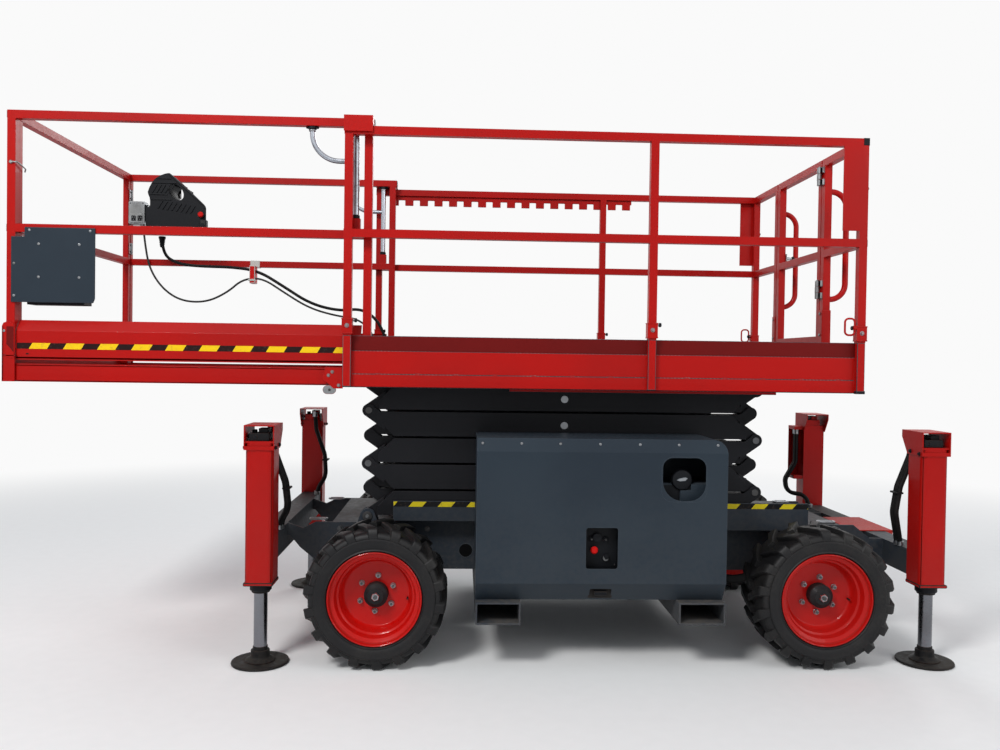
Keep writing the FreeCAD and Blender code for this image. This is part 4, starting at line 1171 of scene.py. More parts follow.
@dataclass
class MainDeck:
    """Deck plate, folded skirts, post sockets, arm lugs and roller tracks."""

    x0: float = -0.688
    x1: float = 1.766
    inset: float = 0.014
    top: float = 1.395
    thick: float = 0.015
    skirt_y: float = 0.750
    skirt_t: float = 0.012
    skirt_z0: float = 1.290
    skirt_z1: float = 1.530
    fold_z: float = 1.353
    strip_h: float = 0.070
    strip_in: float = 0.007
    lip_w: float = 0.060
    lip_t: float = 0.006
    socket_xs: Tuple[float, ...] = (-0.667, 0.750, 1.744)
    socket_half: float = 0.019
    socket_y: float = 0.776
    gate_half: float = 0.326
    beam_xs: Tuple[float, ...] = (-0.674, -0.060, 0.620, 1.300, 1.676)
    lug_x: float = -0.594
    pin_z: float = 1.2995
    outer_y: float = 0.440
    inner_y: float = 0.355
    weld_pitch: float = 0.181
    weld_w: float = 0.026
    bead_zs: Tuple[float, ...] = (1.32, 1.36, 1.40, 1.44)
    shoe_w: float = 0.042
    track_x: Flat = (0.100, 1.440)
    hanger_xs: Tuple[float, ...] = (0.100, 0.700, 1.370)

    def build(self) -> List[Object]:
        """Make the deck.

        Returns:
            Its piece.
        """
        piece = Piece(Finish.RED)
        half = self.skirt_y - self.skirt_t
        under = self.top - self.thick
        piece.box((self.x0 + self.inset, -half, under), (self.x1, half, self.top),
                  finish=Finish.DECK_TREAD)
        for side in SIDES:
            self.skirt(piece, side)
            self.arm_seats(piece, side, under)
            piece.box((self.x1 - 0.012, side * self.gate_half, self.top),
                      (self.x1, side * half, self.skirt_z1), 0.002)
        for x in self.beam_xs:
            piece.box((x, -0.640, under - 0.024), (x + 0.060, 0.640, under), 0.003)
        piece.box((self.x1 - 0.012, -half, self.skirt_z0), (self.x1, half, self.top + 0.004),
                  0.002)
        return [piece.place("main_deck", "platform", "red_paint", "platform_deck")]

    def skirt(self, piece: Piece, side: int) -> None:
        """Add one side's skirt with its fold, stitch welds, sockets and a recessed top strip in a
        darker red that is painted shade.

        Args:
            piece: The deck.
            side: The side of the machine.
        """
        half = side * (self.skirt_y - self.skirt_t)
        face = side * self.skirt_y
        strip_z0 = self.skirt_z1 - self.strip_h
        piece.box((self.x0, half, self.skirt_z0), (self.x1, face, self.fold_z - 0.001), 0.002)
        piece.box((self.x0, half, self.fold_z - 0.001), (self.x1, face - side * 0.0016, strip_z0),
                  0.002)
        # Painted shade: the recessed top strip takes the darker red that stands in for its shade.
        piece.box((self.x0, half - side * 0.005, strip_z0 - 0.014),
                  (self.x1, face - side * self.strip_in, self.skirt_z1), 0.002, Finish.SHADE_RED)
        piece.box((self.x0, face - side * self.lip_w, self.skirt_z0),
                  (self.x1, face, self.skirt_z0 + self.lip_t), 0.002)
        x = self.x0 + 0.150
        while x < self.x1 - 0.1:
            piece.box((x, face - side * 0.003, self.fold_z - 0.004),
                      (x + self.weld_w, face + side * 0.0006, self.fold_z + 0.003), 0.0016)
            x += self.weld_pitch
        for x in self.socket_xs:
            piece.box((x - self.socket_half, face - side * 0.002, self.skirt_z0 + 0.004),
                      (x + self.socket_half, side * self.socket_y, self.skirt_z1), 0.003)
            for edge in SIDES:
                bead = x + edge * (self.socket_half + 0.0015)
                piece.tube([Vector((bead, face, z)) for z in self.bead_zs], 0.0022, 8)
        piece.box((self.x1 - self.shoe_w, face - side * 0.004, self.skirt_z0 - 0.002),
                  (self.x1, side * (self.socket_y + 0.001), self.skirt_z0 + 0.013), 0.002,
                  Finish.PLASTIC)

    def arm_seats(self, piece: Piece, side: int, under: float) -> None:
        """Add one side's arm lug and roller track.

        Args:
            piece: The deck.
            side: The side of the machine.
            under: The height of the deck's underside.
        """
        low, high = side * (self.inner_y - 0.020), side * (self.inner_y + 0.020)
        piece.prism((
            (self.lug_x - 0.060, under), (self.lug_x - 0.026, self.pin_z - 0.014),
            (self.lug_x + 0.026, self.pin_z - 0.014), (self.lug_x + 0.060, under),
        ), Axis.Y, (low, high), 0.002)
        piece.disc(0.032, (self.lug_x, self.pin_z), Axis.Y, (low, high), 0.001, 40)
        track_z = self.pin_z + 0.0455
        inner, outer = side * (self.outer_y - 0.036), side * (self.outer_y + 0.062)
        start, end = self.track_x
        piece.box((start, inner, track_z), (end, outer, track_z + 0.008))
        piece.box((start, outer - side * 0.008, self.pin_z - 0.030), (end, outer, track_z))
        for x in self.hanger_xs:
            piece.box((x, inner, track_z + 0.008), (x + 0.050, outer, under))


@dataclass
class RailFittings:
    """Collars, pins, sleeves, plugs, hinges, latch, brackets and rings of the main rails."""

    post_xs: Tuple[float, ...] = (-0.667, 0.750, 1.744)
    rail_y: float = 0.757
    tube: float = 0.038
    collar_z: float = 1.538
    collar_h: float = 0.070
    pin_z: float = 1.600
    hinge_x: float = 1.7125
    hinge_y: float = -0.322
    hinge_zs: Tuple[float, ...] = (1.815, 2.403)
    knuckle: float = 0.0128
    leaf_w: float = 0.037
    leaf_x: float = 1.7262
    end_x: float = 1.744
    top_z: float = 2.472
    mid_z: float = 2.000
    bolt_z: float = 1.575
    sleeve_half: float = 0.0235
    sleeve_z: Flat = (1.420, 1.708)
    sleeve_discs: Flat = (1.690, 1.580)
    latch: Flat = (0.292, 2.049)
    wear_plate: Flat = (-0.749, 1.2765)
    wear_radius: float = 0.0205
    ring_x: Flat = (1.665, 1.712)
    ring_z: Flat = (1.566, 1.644)

    def build(self) -> List[Object]:
        """Make the fittings.

        Returns:
            Their pieces.
        """
        return [self.collars(), self.plugs(), self.hinges(), self.leaves(),
                self.gate_latch(), self.guide_bracket(), self.link()]

    def collars(self) -> Object:
        """Make the rings round the posts' collars, their pull pins and the gate posts' sleeves.

        Returns:
            The piece.
        """
        piece = Piece(Finish.ZINC)
        for x in self.post_xs:
            for side in SIDES:
                y = side * (self.rail_y + 0.0025)
                for z in (self.collar_z - 0.001, self.collar_z + self.collar_h - 0.005):
                    piece.box((x - 0.0255, y - 0.0235, z), (x + 0.0255, y + 0.0235, z + 0.006),
                              finish=Finish.RED)
                toward = 1 if x < 1.0 else -1
                face = x + toward * 0.024
                piece.disc(0.006, (y, self.pin_z), Axis.X, (face, face + toward * 0.010))
                piece.disc(0.010, (y, self.pin_z), Axis.X,
                           (face + toward * 0.008, face + toward * 0.020), 0.002, 24,
                           Finish.PLASTIC)
                bolt(piece, (x, self.bolt_z), Axis.Y, side * (self.rail_y + 0.024), side, 0.013)
        gate_post = self.tube / 2 - self.hinge_y + 0.004
        half = self.sleeve_half
        face = self.end_x - half
        for side in SIDES:
            piece.box((face, side * (gate_post - half + 0.001), self.sleeve_z[0]),
                      (self.end_x + half, side * (gate_post + half), self.sleeve_z[1]), 0.003,
                      Finish.RED)
            for z in self.sleeve_discs:
                piece.disc(0.007, (side * gate_post, z), Axis.X, (face - 0.006, face), 0.001, 24)
        return piece.place("post_collars", "platform", "plated")

    def plugs(self) -> Object:
        """Make the plugs and caps of the rails' open ends and the bolts of the end posts.

        Returns:
            The piece.
        """
        piece = Piece(Finish.PLASTIC)
        end = self.end_x + self.tube / 2
        for side in SIDES:
            y = side * self.rail_y
            for z in (self.top_z, self.mid_z):
                piece.box((end - 0.001, y - 0.017, z - 0.017), (end + 0.003, y + 0.017, z + 0.017),
                          0.003)
            face = side * (self.rail_y + self.tube / 2)
            piece.box((1.737, face - side * 0.001, 2.458),
                      (end + 0.002, face + side * 0.0015, 2.4925), 0.001)
            bolt(piece, (y, 2.259), Axis.X, end, 1, 0.013, Finish.PIN_STEEL)
        return piece.place("rail_plugs", "platform", "black_plastic")

    def hinges(self) -> Object:
        """Make the plated halves of the gate's hinges on the end post.

        Returns:
            The piece.
        """
        piece = Piece(Finish.ZINC)
        centre = (self.hinge_x, self.hinge_y)
        for z in self.hinge_zs:
            for low in (z - 0.0465, z + 0.0158):
                high = low + 0.0307
                piece.disc(self.knuckle, centre, Axis.Z, (low, high), 0.001, 28)
                piece.box((self.hinge_x, self.hinge_y - self.leaf_w, low),
                          (self.leaf_x, self.hinge_y - 0.0005, high), 0.001)
            piece.disc(0.0085, centre, Axis.Z, (z + 0.046, z + 0.052), 0.002, 20)
        return piece.place("hinge_halves", "platform", "plated")

    def leaves(self) -> Object:
        """Make the plated halves of the hinges that the gate carries.

        Returns:
            The piece.
        """
        piece = Piece(Finish.ZINC)
        centre = (self.hinge_x, self.hinge_y)
        for z in self.hinge_zs:
            low, high = z - 0.0152, z + 0.0152
            piece.disc(self.knuckle, centre, Axis.Z, (low, high), 0.001, 28)
            piece.box((self.hinge_x, self.hinge_y + 0.0005, low),
                      (self.leaf_x, self.hinge_y + self.leaf_w, high), 0.001)
        return piece.place("hinge_leaves", "gate", "plated")

    def gate_latch(self) -> Object:
        """Make the spring latch on the gate's free side.

        Returns:
            The piece.
        """
        piece = Piece(Finish.ZINC)
        face = self.end_x + self.tube / 2
        piece.box((face, 0.266, 2.024), (face + 0.005, 0.312, 2.074), 0.001)
        piece.box((face + 0.004, 0.274, 2.040), (face + 0.026, 0.332, 2.058), 0.004)
        piece.disc(0.007, self.latch, Axis.X, (face + 0.024, face + 0.044), 0.002)
        piece.disc(0.013, self.latch, Axis.X, (face + 0.040, face + 0.056), 0.004, 28,
                   Finish.PLASTIC)
        for z in (2.030, 2.068):
            screw(piece, (0.300, z), Axis.X, face + 0.005, 1, 0.005)
        return piece.place("gate_latch", "gate", "plated")

    def guide_bracket(self) -> Object:
        """Make the bracket at the front end of each skirt, with its plated wear plate.

        Returns:
            The piece.
        """
        piece = Piece(Finish.ZINC)
        for side in SIDES:
            low, high = side * 0.742, side * 0.748
            piece.prism((
                (-0.781, 1.330), (-0.768, 1.381), (-0.687, 1.381), (-0.687, 1.283),
                (-0.730, 1.283),
            ), Axis.Y, (low, high), 0.0015, Finish.RED)
            ring = []
            for k in range(18):
                turn = math.tau * (k - 4) / 18
                shift = self.wear_radius * (0.5 if k < 9 else -0.5)
                ring.append((self.wear_plate[0] - 0.0005 + shift
                             + self.wear_radius * math.cos(turn),
                             self.wear_plate[1] + self.wear_radius * math.sin(turn)))
            piece.prism(ring, Axis.Y, (side * 0.736, side * 0.7415), 0.001)
            for x, z in ((-0.753, 1.344), (-0.736, 1.360), (-0.706, 1.298)):
                bolt(piece, (x, z), Axis.Y, high, side, 0.010)
            screw(piece, self.wear_plate, Axis.Y, side * 0.7415, side, 0.006, Finish.PIN_STEEL)
        return piece.place("slide_brackets", "platform", "red_paint")

    def link(self) -> Object:
        """Make the oblong ring that hangs beside each end post.

        Returns:
            The piece.
        """
        piece = Piece(Finish.RED)
        far, near = self.ring_x
        low, high = self.ring_z
        for side in SIDES:
            y = side * 0.772
            corners = [(near, y, self.pin_z), (near, y, high), (far, y, high), (far, y, low),
                       (near, y, low), (near, y, self.pin_z + 0.001)]
            piece.tube(bent(corners, 0.018), 0.0048, 12)
            piece.box((near - 0.006, y - 0.010, self.pin_z - 0.008),
                      (near + 0.010, y + 0.006, self.pin_z + 0.012), 0.002)
        return piece.place("lanyard_rings", "platform", "red_paint")


# Roll-out deck


@dataclass
class RollOutDeck:
    """Floor, leaning side walls, slide channels, cheeks and striped tapes."""

    x0: float = -2.240
    x1: float = -0.500
    wall_y: float = 0.718
    floor_z0: float = 1.401
    floor_z1: float = 1.411
    lip_z: float = 1.580
    slide_z: float = 1.2963
    channel_top: float = 1.375
    channel_x1: float = -0.300
    cheek_x: float = -2.182
    wall_x1: float = -0.609
    tape_z: Flat = (1.447, 1.474)
    # Where the cheek's flat patch of painted shade lies.
    shade_patch_x: Flat = (-2.219, -2.186)
    shade_patch_z: Flat = (1.404, 1.548)

    def build(self) -> List[Object]:
        """Make the deck and its tapes.

        Returns:
            Their pieces.
        """
        piece = Piece(Finish.RED)
        piece.box((self.x0, -self.wall_y, self.floor_z0), (self.x1, self.wall_y, self.floor_z1))
        piece.box((self.x0 + 0.080, -0.590, self.floor_z1 - 0.001),
                  (self.x1 - 0.014, 0.590, self.floor_z1 + 0.003), finish=Finish.DECK_TREAD)
        half = self.wall_y + 0.013
        piece.box((self.x0, -half, self.slide_z), (self.x0 + 0.010, half, self.lip_z - 0.030),
                  0.003)
        tapes = Piece(Finish.DECK_TAPE)
        for side in SIDES:
            self.wall(piece, side)
            self.cheek(piece, side)
            face = side * self.wall_y
            tapes.box((self.cheek_x + 0.004, face, self.tape_z[0]),
                      (self.wall_x1 - 0.003, face + side * 0.0005, self.tape_z[1]), 0.0)
        return [piece.place("roll_out_deck", "extension", "red_paint", "extension_deck"),
                tapes.place("deck_tapes", "extension", "red_paint")]

    def wall(self, piece: Piece, side: int) -> None:
        """Add one side's wall and slide channel.

        Args:
            piece: The deck.
            side: The side of the machine.
        """
        y = self.wall_y
        piece.prism((
            (side * (y - 0.008), self.floor_z0), (side * y, self.floor_z0),
            (side * y, self.lip_z - 0.050), (side * (y - 0.034), self.lip_z),
            (side * (y - 0.042), self.lip_z), (side * (y - 0.008), self.lip_z - 0.053),
        ), Axis.X, (self.cheek_x, self.wall_x1), 0.0012)
        outer, inner = side * y, side * (y - 0.060)
        piece.box((self.x0, outer - side * 0.008, self.slide_z),
                  (self.channel_x1, outer, self.channel_top), 0.0025)
        for z in (self.slide_z, self.channel_top - 0.008):
            piece.box((self.x0, inner, z), (self.channel_x1, outer, z + 0.008), 0.002)
        piece.box((self.x0, inner, self.slide_z), (self.x0 + 0.050, outer, self.floor_z1), 0.002)
        for low, high in ((self.floor_z0 - 0.0046, self.floor_z0),
                          (self.channel_top, self.channel_top + 0.0038)):
            piece.box((self.cheek_x, outer - side * 0.012, low), (self.wall_x1, outer, high),
                      0.0006)
        piece.box((-2.137, outer - side * 0.001, 1.421), (-2.125, outer + side * 0.0006, 1.427),
                  0.0, Finish.PLASTIC)

    def cheek(self, piece: Piece, side: int) -> None:
        """Add one front corner's cheek with its gusset and a flat patch of darker red that is
        painted shade in place of a pocket.

        Args:
            piece: The deck.
            side: The side of the machine.
        """
        low, high = side * (self.wall_y + 0.007), side * (self.wall_y + 0.013)
        piece.prism((
            (self.x0, self.slide_z), (self.cheek_x, self.slide_z),
            (self.cheek_x, self.lip_z - 0.035), (self.cheek_x - 0.007, self.lip_z - 0.020),
            (self.cheek_x - 0.025, self.lip_z - 0.010), (self.x0 + 0.020, self.lip_z - 0.010),
            (self.x0 + 0.006, self.lip_z - 0.016), (self.x0, self.lip_z - 0.030),
        ), Axis.Y, (low, high))
        piece.box((self.x0, side * (self.wall_y - 0.001), self.slide_z),
                  (self.cheek_x - 0.014, side * (self.wall_y + 0.008), self.floor_z1))
        face = high
        low, high = self.shade_patch_x
        foot, top = self.shade_patch_z
        # Painted shade: a thin darker red patch on the cheek stands in for the shade of a pocket
        # that is not modelled.
        piece.box((low, face - side * 0.001, foot), (high, face + side * 0.0004, top), 0.0,
                  Finish.SHADE_RED)
        low, high = low - 0.002, high + 0.002
        piece.prism(((low, foot), (high, foot), (high, foot + 0.024), (low, foot + 0.066)), Axis.Y,
                    (face - side * 0.001, face + side * 0.002), 0.0008)
        screw(piece, (-2.230, 1.528), Axis.Y, face, side, 0.006, Finish.ZINC)


@dataclass
class RollOutRails:
    """Plugs, handle clips, foot plates and end frame of the roll-out deck's rails."""

    sleeve_end: float = -0.557
    rail_y: float = 0.705
    top_z: float = 2.518
    tube: float = 0.038
    front: float = -2.224
    mid_z: float = 2.000
    handle_x: float = -0.845
    latch_x: float = -0.640
    cup_z: Flat = (2.075, 2.093)
    cap_z: Flat = (2.200, 2.230)
    foot_xs: Flat = (-2.205, -0.582)
    foot_z: Flat = (1.411, 1.419)
    hinge_zs: Flat = (2.080, 2.405)
    catch_z: float = 2.299

    def build(self) -> List[Object]:
        """Make the fittings.

        Returns:
            Their pieces.
        """
        piece = Piece(Finish.PLASTIC)
        under = self.top_z - self.tube / 2
        for side in SIDES:
            y = side * self.rail_y
            piece.box((self.sleeve_end - 0.001, y - 0.017, self.top_z - 0.017),
                      (self.sleeve_end + 0.003, y + 0.017, self.top_z + 0.017), 0.003)
            for x in (self.handle_x, self.latch_x):
                piece.disc(0.019, (x, y), Axis.Z, (under - 0.016, under), 0.003)
                piece.disc(0.0165, (x, y), Axis.Z, (under - 0.024, under - 0.015), 0.002, 32,
                           Finish.ZINC)
                for way in SIDES:
                    piece.disc(0.008, (x + way * 0.022, y), Axis.Z, (under - 0.010, under), 0.002,
                               20)
            piece.disc(0.018, (self.latch_x, y), Axis.Z, self.cup_z, 0.003)
            piece.disc(0.0155, (self.latch_x, y), Axis.Z, self.cap_z, 0.003, 32, Finish.BRIGHT)
            for z in (self.mid_z, self.top_z):
                piece.box((self.front - 0.003, y - 0.017, z - 0.017),
                          (self.front + 0.001, y + 0.017, z + 0.017), 0.003, Finish.RED)
            for x in self.foot_xs:
                piece.box((x - 0.028, y - 0.028, self.foot_z[0]),
                          (x + 0.028, y + 0.028, self.foot_z[1]), 0.002, Finish.RED)
        return [piece.place("roll_out_rail_fittings", "extension", "plated"), self.end_frame()]

    def end_frame(self) -> Object:
        """Make the end rail's own posts, inside the corner posts, with hinges and a catch.

        Returns:
            The piece.
        """
        piece = Piece(Finish.ZINC)
        x = self.front + self.tube / 2
        for side in SIDES:
            ys = sorted((side * (self.rail_y - 0.021), side * (self.rail_y - 0.055)))
            piece.box((x - 0.017, ys[0], 1.418), (x + 0.017, ys[1], self.top_z - 0.018), 0.004,
                      Finish.RED)
        face = x + self.tube / 2
        seam = self.rail_y - 0.020
        for z in self.hinge_zs:
            piece.box((face - 0.001, seam - 0.028, z - 0.034),
                      (face + 0.004, seam + 0.024, z + 0.034))
            piece.disc(0.0065, (face + 0.005, seam), Axis.Z, (z - 0.036, z + 0.036), 0.001, 20)
            for dz in (-0.020, 0.020):
                for dy in (-0.017, 0.014):
                    screw(piece, (seam + dy, z + dz), Axis.X, face + 0.004, 1, 0.005,
                          Finish.PLASTIC)
        z = self.catch_z
        near = -self.rail_y
        piece.disc(0.008, (x, z), Axis.Y, (near - 0.026, near - 0.018), 0.002, 24)
        piece.tube(bent([
            (x, near - 0.024, z), (face + 0.010, near - 0.024, z),
            (face + 0.012, near + 0.020, z - 0.010), (face + 0.012, near + 0.052, z - 0.018),
            (face + 0.004, near + 0.060, z - 0.030),
        ], 0.008, 6), 0.0032, 10)
        return piece.place("end_frame_posts", "extension", "red_paint")


@dataclass
class ControlStand:
    """Housing, ribs, buttons and gland of the platform control box, and the outlet beside it."""

    x: float = -2.020
    z: float = 2.151
    near: float = 0.470
    far: float = 0.660
    gland: Point = (-1.980, 0.640, 2.151)
    outlet: Flat = (-2.186, -2.094)
    outlet_y: float = 0.655
    outlet_z: Flat = (2.228, 2.368)
    outlet_exit: Point = (-2.110, 0.680, 2.228)
    hole: Flat = (175, 246)
    hole_half: Flat = (56, 37)
    stop_button: Flat = (326, 112)

    def build(self) -> List[Object]:
        """Make the fittings.

        Returns:
            Their pieces.
        """
        return [self.mouldings(), self.controls(), self.gland_piece(),
                self.sockets(), self.connector(), self.housing()]

    def at(self, *points: Flat) -> List[Flat]:
        """Place millimetre offsets from the box's low corner."""
        return [(self.x + x / 1000, self.z + z / 1000) for x, z in points]

    def housing(self) -> Object:
        """Make the moulded housing, which narrows to the back, with its slanted hand hole.

        Returns:
            The piece.
        """
        piece = Piece(Finish.PLASTIC)
        near = (
            (0, 0), (353, 0), (353, 150), (350, 162), (342, 173), (146, 350), (139, 355),
            (129, 356), (110, 352), (84, 342), (66, 331), (52, 320), (40, 306), (30, 291),
            (18, 266), (10, 242), (14, 226), (21, 210), (24, 190), (24, 154), (0, 151),
        )
        far = (
            (0, 24), (293, 24), (293, 150), (290, 162), (283, 173), (142, 344), (137, 347),
            (129, 348), (110, 346), (84, 337), (66, 327), (52, 316), (40, 303), (30, 289),
            (18, 266), (10, 242), (14, 226), (21, 210), (24, 190), (24, 154), (0, 151),
        )
        hole = []
        for k in range(28):
            turn = math.tau * k / 28
            long, short = self.hole_half[0] * math.cos(turn), self.hole_half[1] * math.sin(turn)
            hole.append((self.hole[0] + 0.62 * long + 0.78 * short,
                         self.hole[1] - 0.78 * long + 0.62 * short))
        piece.pierced((self.at(*near), self.at(*far)), self.at(*hole), Axis.Y,
                      (self.near, self.far), 0.004)
        for x in (0.060, 0.110):
            left = self.x + x
            piece.box((left, 0.655, self.z + 0.240), (left + 0.030, 0.686, self.z + 0.270))
            piece.box((left, 0.680, self.z + 0.240), (left + 0.030, 0.686, 2.470))
        return piece.place("control_box_housing", "extension", "black_plastic", "control_box")

    def mouldings(self) -> Object:
        """Make the raised ribs and ledges of the housing's near face.

        Returns:
            The piece.
        """
        piece = Piece(Finish.PLASTIC)
        span = (self.near + 0.001, self.near - 0.0045)
        for k in range(5):
            a = 32 + k * 25
            piece.prism(self.at((a, 238), (a + 9, 238), (a + 36, 286), (a + 27, 286)), Axis.Y,
                        span)
        for k in range(8):
            a = 66 + k * 27
            low = 146 - k * 4
            piece.prism(self.at((a, low), (a + 9, low), (a + 36, low + 46), (a + 27, low + 46)),
                        Axis.Y, span)
        for low, high, x0, x1 in ((320, 327, 62, 150), (294, 303, 40, 182), (226, 232, 22, 128),
                                  (196, 202, 28, 150)):
            piece.prism(self.at((x0, low), (x1, low), (x1 - 5, high), (x0 + 4, high)), Axis.Y,
                        span)
        piece.prism(self.at((137, 355), (341, 172), (351, 152), (342, 150), (332, 168),
                            (131, 348)), Axis.Y, (self.near + 0.001, self.near - 0.006), 0.002)
        for x, z in ((12, 12), (340, 12), (176, 12)):
            screw(piece, self.at((x, z))[0], Axis.Y, self.near, -1, 0.004, Finish.PIN_STEEL)
        return piece.place("control_box_ribs", "extension", "black_plastic")

    def controls(self) -> Object:
        """Make the stop button, the plug socket and the switches on the slope.

        Returns:
            The piece.
        """
        piece = Piece(Finish.PLASTIC)
        spot = self.at(self.stop_button)[0]
        piece.disc(0.020, spot, Axis.Y, (self.near + 0.001, self.near - 0.006), 0.002, 40)
        piece.disc(0.010, spot, Axis.Y, (self.near - 0.005, self.near - 0.018), 0.002, 32,
                   Finish.BUTTON)
        piece.disc(0.016, spot, Axis.Y, (self.near - 0.014, self.near - 0.027), 0.005, 40,
                   Finish.BUTTON)
        low, high = self.at((318, 20), (357, 84))
        piece.box((low[0], self.near - 0.012, low[1]), (high[0], self.near + 0.030, high[1]),
                  0.006, Finish.CABLE_GREY)
        piece.disc(0.012, self.at((336, 50))[0], Axis.Y, (self.near - 0.011, self.near - 0.017),
                   0.002, 28)
        for y in (0.515, 0.545, 0.575):
            for a, size in ((236, 0.009), (204, 0.006)):
                x, z = self.at((a, 268 + (236 - a) * 0.9))[0]
                piece.disc(size, (x, y), Axis.Z, (z - 0.014, z - 0.002), 0.002, 28)
        return piece.place("control_box_switches", "extension", "black_plastic")

    def gland_piece(self) -> Object:
        """Make the ringed strain relief under the control box.

        Returns:
            The piece.
        """
        piece = Piece(Finish.PLASTIC)
        x, y, z = self.gland
        profile = [(0.0, z + 0.002), (0.021, z + 0.002), (0.021, z - 0.010)]
        for k in range(5):
            low = z - 0.012 - k * 0.010
            profile += [(0.0185 - k * 0.0012, low), (0.0185 - k * 0.0012, low - 0.006),
                        (0.0150 - k * 0.0010, low - 0.0065), (0.0150 - k * 0.0010, low - 0.0095)]
        profile += [(0.0098, z - 0.064), (0.0, z - 0.064)]
        piece.lathe(profile, (x, y), Axis.Z, 32)
        return piece.place("control_cable_relief", "extension", "black_plastic")

    def sockets(self) -> Object:
        """Make the outlet's cover with its two sockets.

        Returns:
            The piece.
        """
        piece = Piece(Finish.ZINC)
        face = self.outlet_y
        low, high = self.outlet
        middle = (low + high) / 2
        piece.box((low - 0.002, face - 0.004, self.outlet_z[0] + 0.004),
                  (high + 0.002, face + 0.001, self.outlet_z[1] - 0.004))
        z = self.outlet_z[0] + 0.036
        piece.box((low + 0.008, face - 0.008, z - 0.027), (high - 0.006, face - 0.003, z + 0.027),
                  0.003)
        for x in (middle - 0.016, middle + 0.022):
            piece.box((x - 0.0145, face - 0.011, z - 0.018), (x + 0.0145, face - 0.007, z + 0.018),
                      0.003, Finish.PLASTIC)
            for slot in (-0.005, 0.005):
                piece.box((x + slot - 0.001, face - 0.0116, z),
                          (x + slot + 0.001, face - 0.0108, z + 0.010), 0.0)
            piece.disc(0.0025, (x, z - 0.008), Axis.Y, (face - 0.0108, face - 0.0117), 0.0003, 12)
        for z in (self.outlet_z[0] + 0.012, self.outlet_z[1] - 0.012):
            for x in (low + 0.008, high - 0.008):
                screw(piece, (x, z), Axis.Y, face - 0.004, -1, 0.004, Finish.PIN_STEEL)
        piece.box((-2.0955, 0.662, 2.245), (-2.072, 0.716, 2.352), 0.004, Finish.PLASTIC)
        piece.box((-2.073, 0.668, 2.262), (-2.024, 0.712, 2.300), 0.004, Finish.PLASTIC)
        return piece.place("outlet_sockets", "extension", "plated")

    def connector(self) -> Object:
        """Make the ringed connector under the outlet.

        Returns:
            The piece.
        """
        piece = Piece(Finish.ZINC)
        x, y, z = self.outlet_exit
        piece.lathe((
            (0.0, z + 0.001), (0.016, z + 0.001), (0.016, z - 0.006), (0.0135, z - 0.007),
            (0.0135, z - 0.018), (0.0150, z - 0.019), (0.0150, z - 0.027), (0.0100, z - 0.030),
            (0.0072, z - 0.036), (0.0, z - 0.036),
        ), (x, y), Axis.Z, 32)
        return piece.place("outlet_cable_relief", "extension", "plated")


@dataclass
class PlateAndBox:
    """Screws of the mounting plate, and lid, catch, hinge and ribs of the document box."""

    face: float = -0.731
    bolts: Tuple[Flat, ...] = ((-2.077, 1.927), (-1.895, 1.927), (-2.077, 1.776), (-1.895, 1.776))
    screws: Tuple[Flat, ...] = ((-2.119, 1.990), (-1.846, 1.990), (-2.187, 1.837), (-2.187, 1.690))
    box_x: Flat = (-2.150, -1.890)
    box_y: Flat = (-0.686, -0.600)
    lid_z: float = 1.930

    def build(self) -> List[Object]:
        """Make the fittings.

        Returns:
            Their pieces.
        """
        plate = Piece(Finish.ZINC)
        for spots, radius in ((self.bolts, 0.0065), (self.screws, 0.006)):
            for spot in spots:
                screw(plate, spot, Axis.Y, self.face, -1, radius)
        box = Piece(Finish.PLASTIC)
        inner = self.box_y[1]
        box.box((self.box_x[0] - 0.003, self.box_y[0] + 0.001, self.lid_z),
                (self.box_x[1] + 0.003, inner + 0.004, 1.962), 0.004)
        box.box((-2.050, inner + 0.003, 1.905), (-1.990, inner + 0.009, 1.952), 0.002)
        box.disc(0.004, (inner + 0.007, 1.950), Axis.X, (-2.046, -1.994), 0.001, 16, Finish.ZINC)
        for k in range(6):
            x = self.box_x[0] + 0.022 + k * 0.043
            box.box((x, inner - 0.001, 1.672), (x + 0.008, inner + 0.003, 1.900))
        return [plate.place("mounting_plate_bolts", "extension", "black_plastic"),
                box.place("document_box_lid", "extension", "black_plastic")]


@dataclass
class Cord:
    """One free cable, which hangs along its route's points."""

    name: str
    node: str
    points: Tuple[Point, ...]
    diameter: float
    length: float

    def build(self, finish: Finish, parts: Sequence[Object]) -> Object:
        """Make the cable as one smooth curve.

        Args:
            finish: Its sheath's finish.
            parts: The separate pieces on it; not used.

        Returns:
            The curve's object.
        """
        data = bpy.data.curves.new(self.name, "CURVE")
        data.dimensions = "3D"
        data.bevel_depth = self.diameter / 2
        data.bevel_resolution = 6
        data.resolution_u = 16
        data.use_fill_caps = True
        line = data.splines.new("NURBS")
        line.points.add(len(self.points) - 1)
        for point, place in zip(line.points, self.points):
            point.co = (*place, 1.0)
        line.order_u = 3
        line.use_endpoint_u = True
        data.materials.append(finish.material())
        made = in_scene(self.name, data)
        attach(made, "extension")
        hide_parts(self.node)
        return made


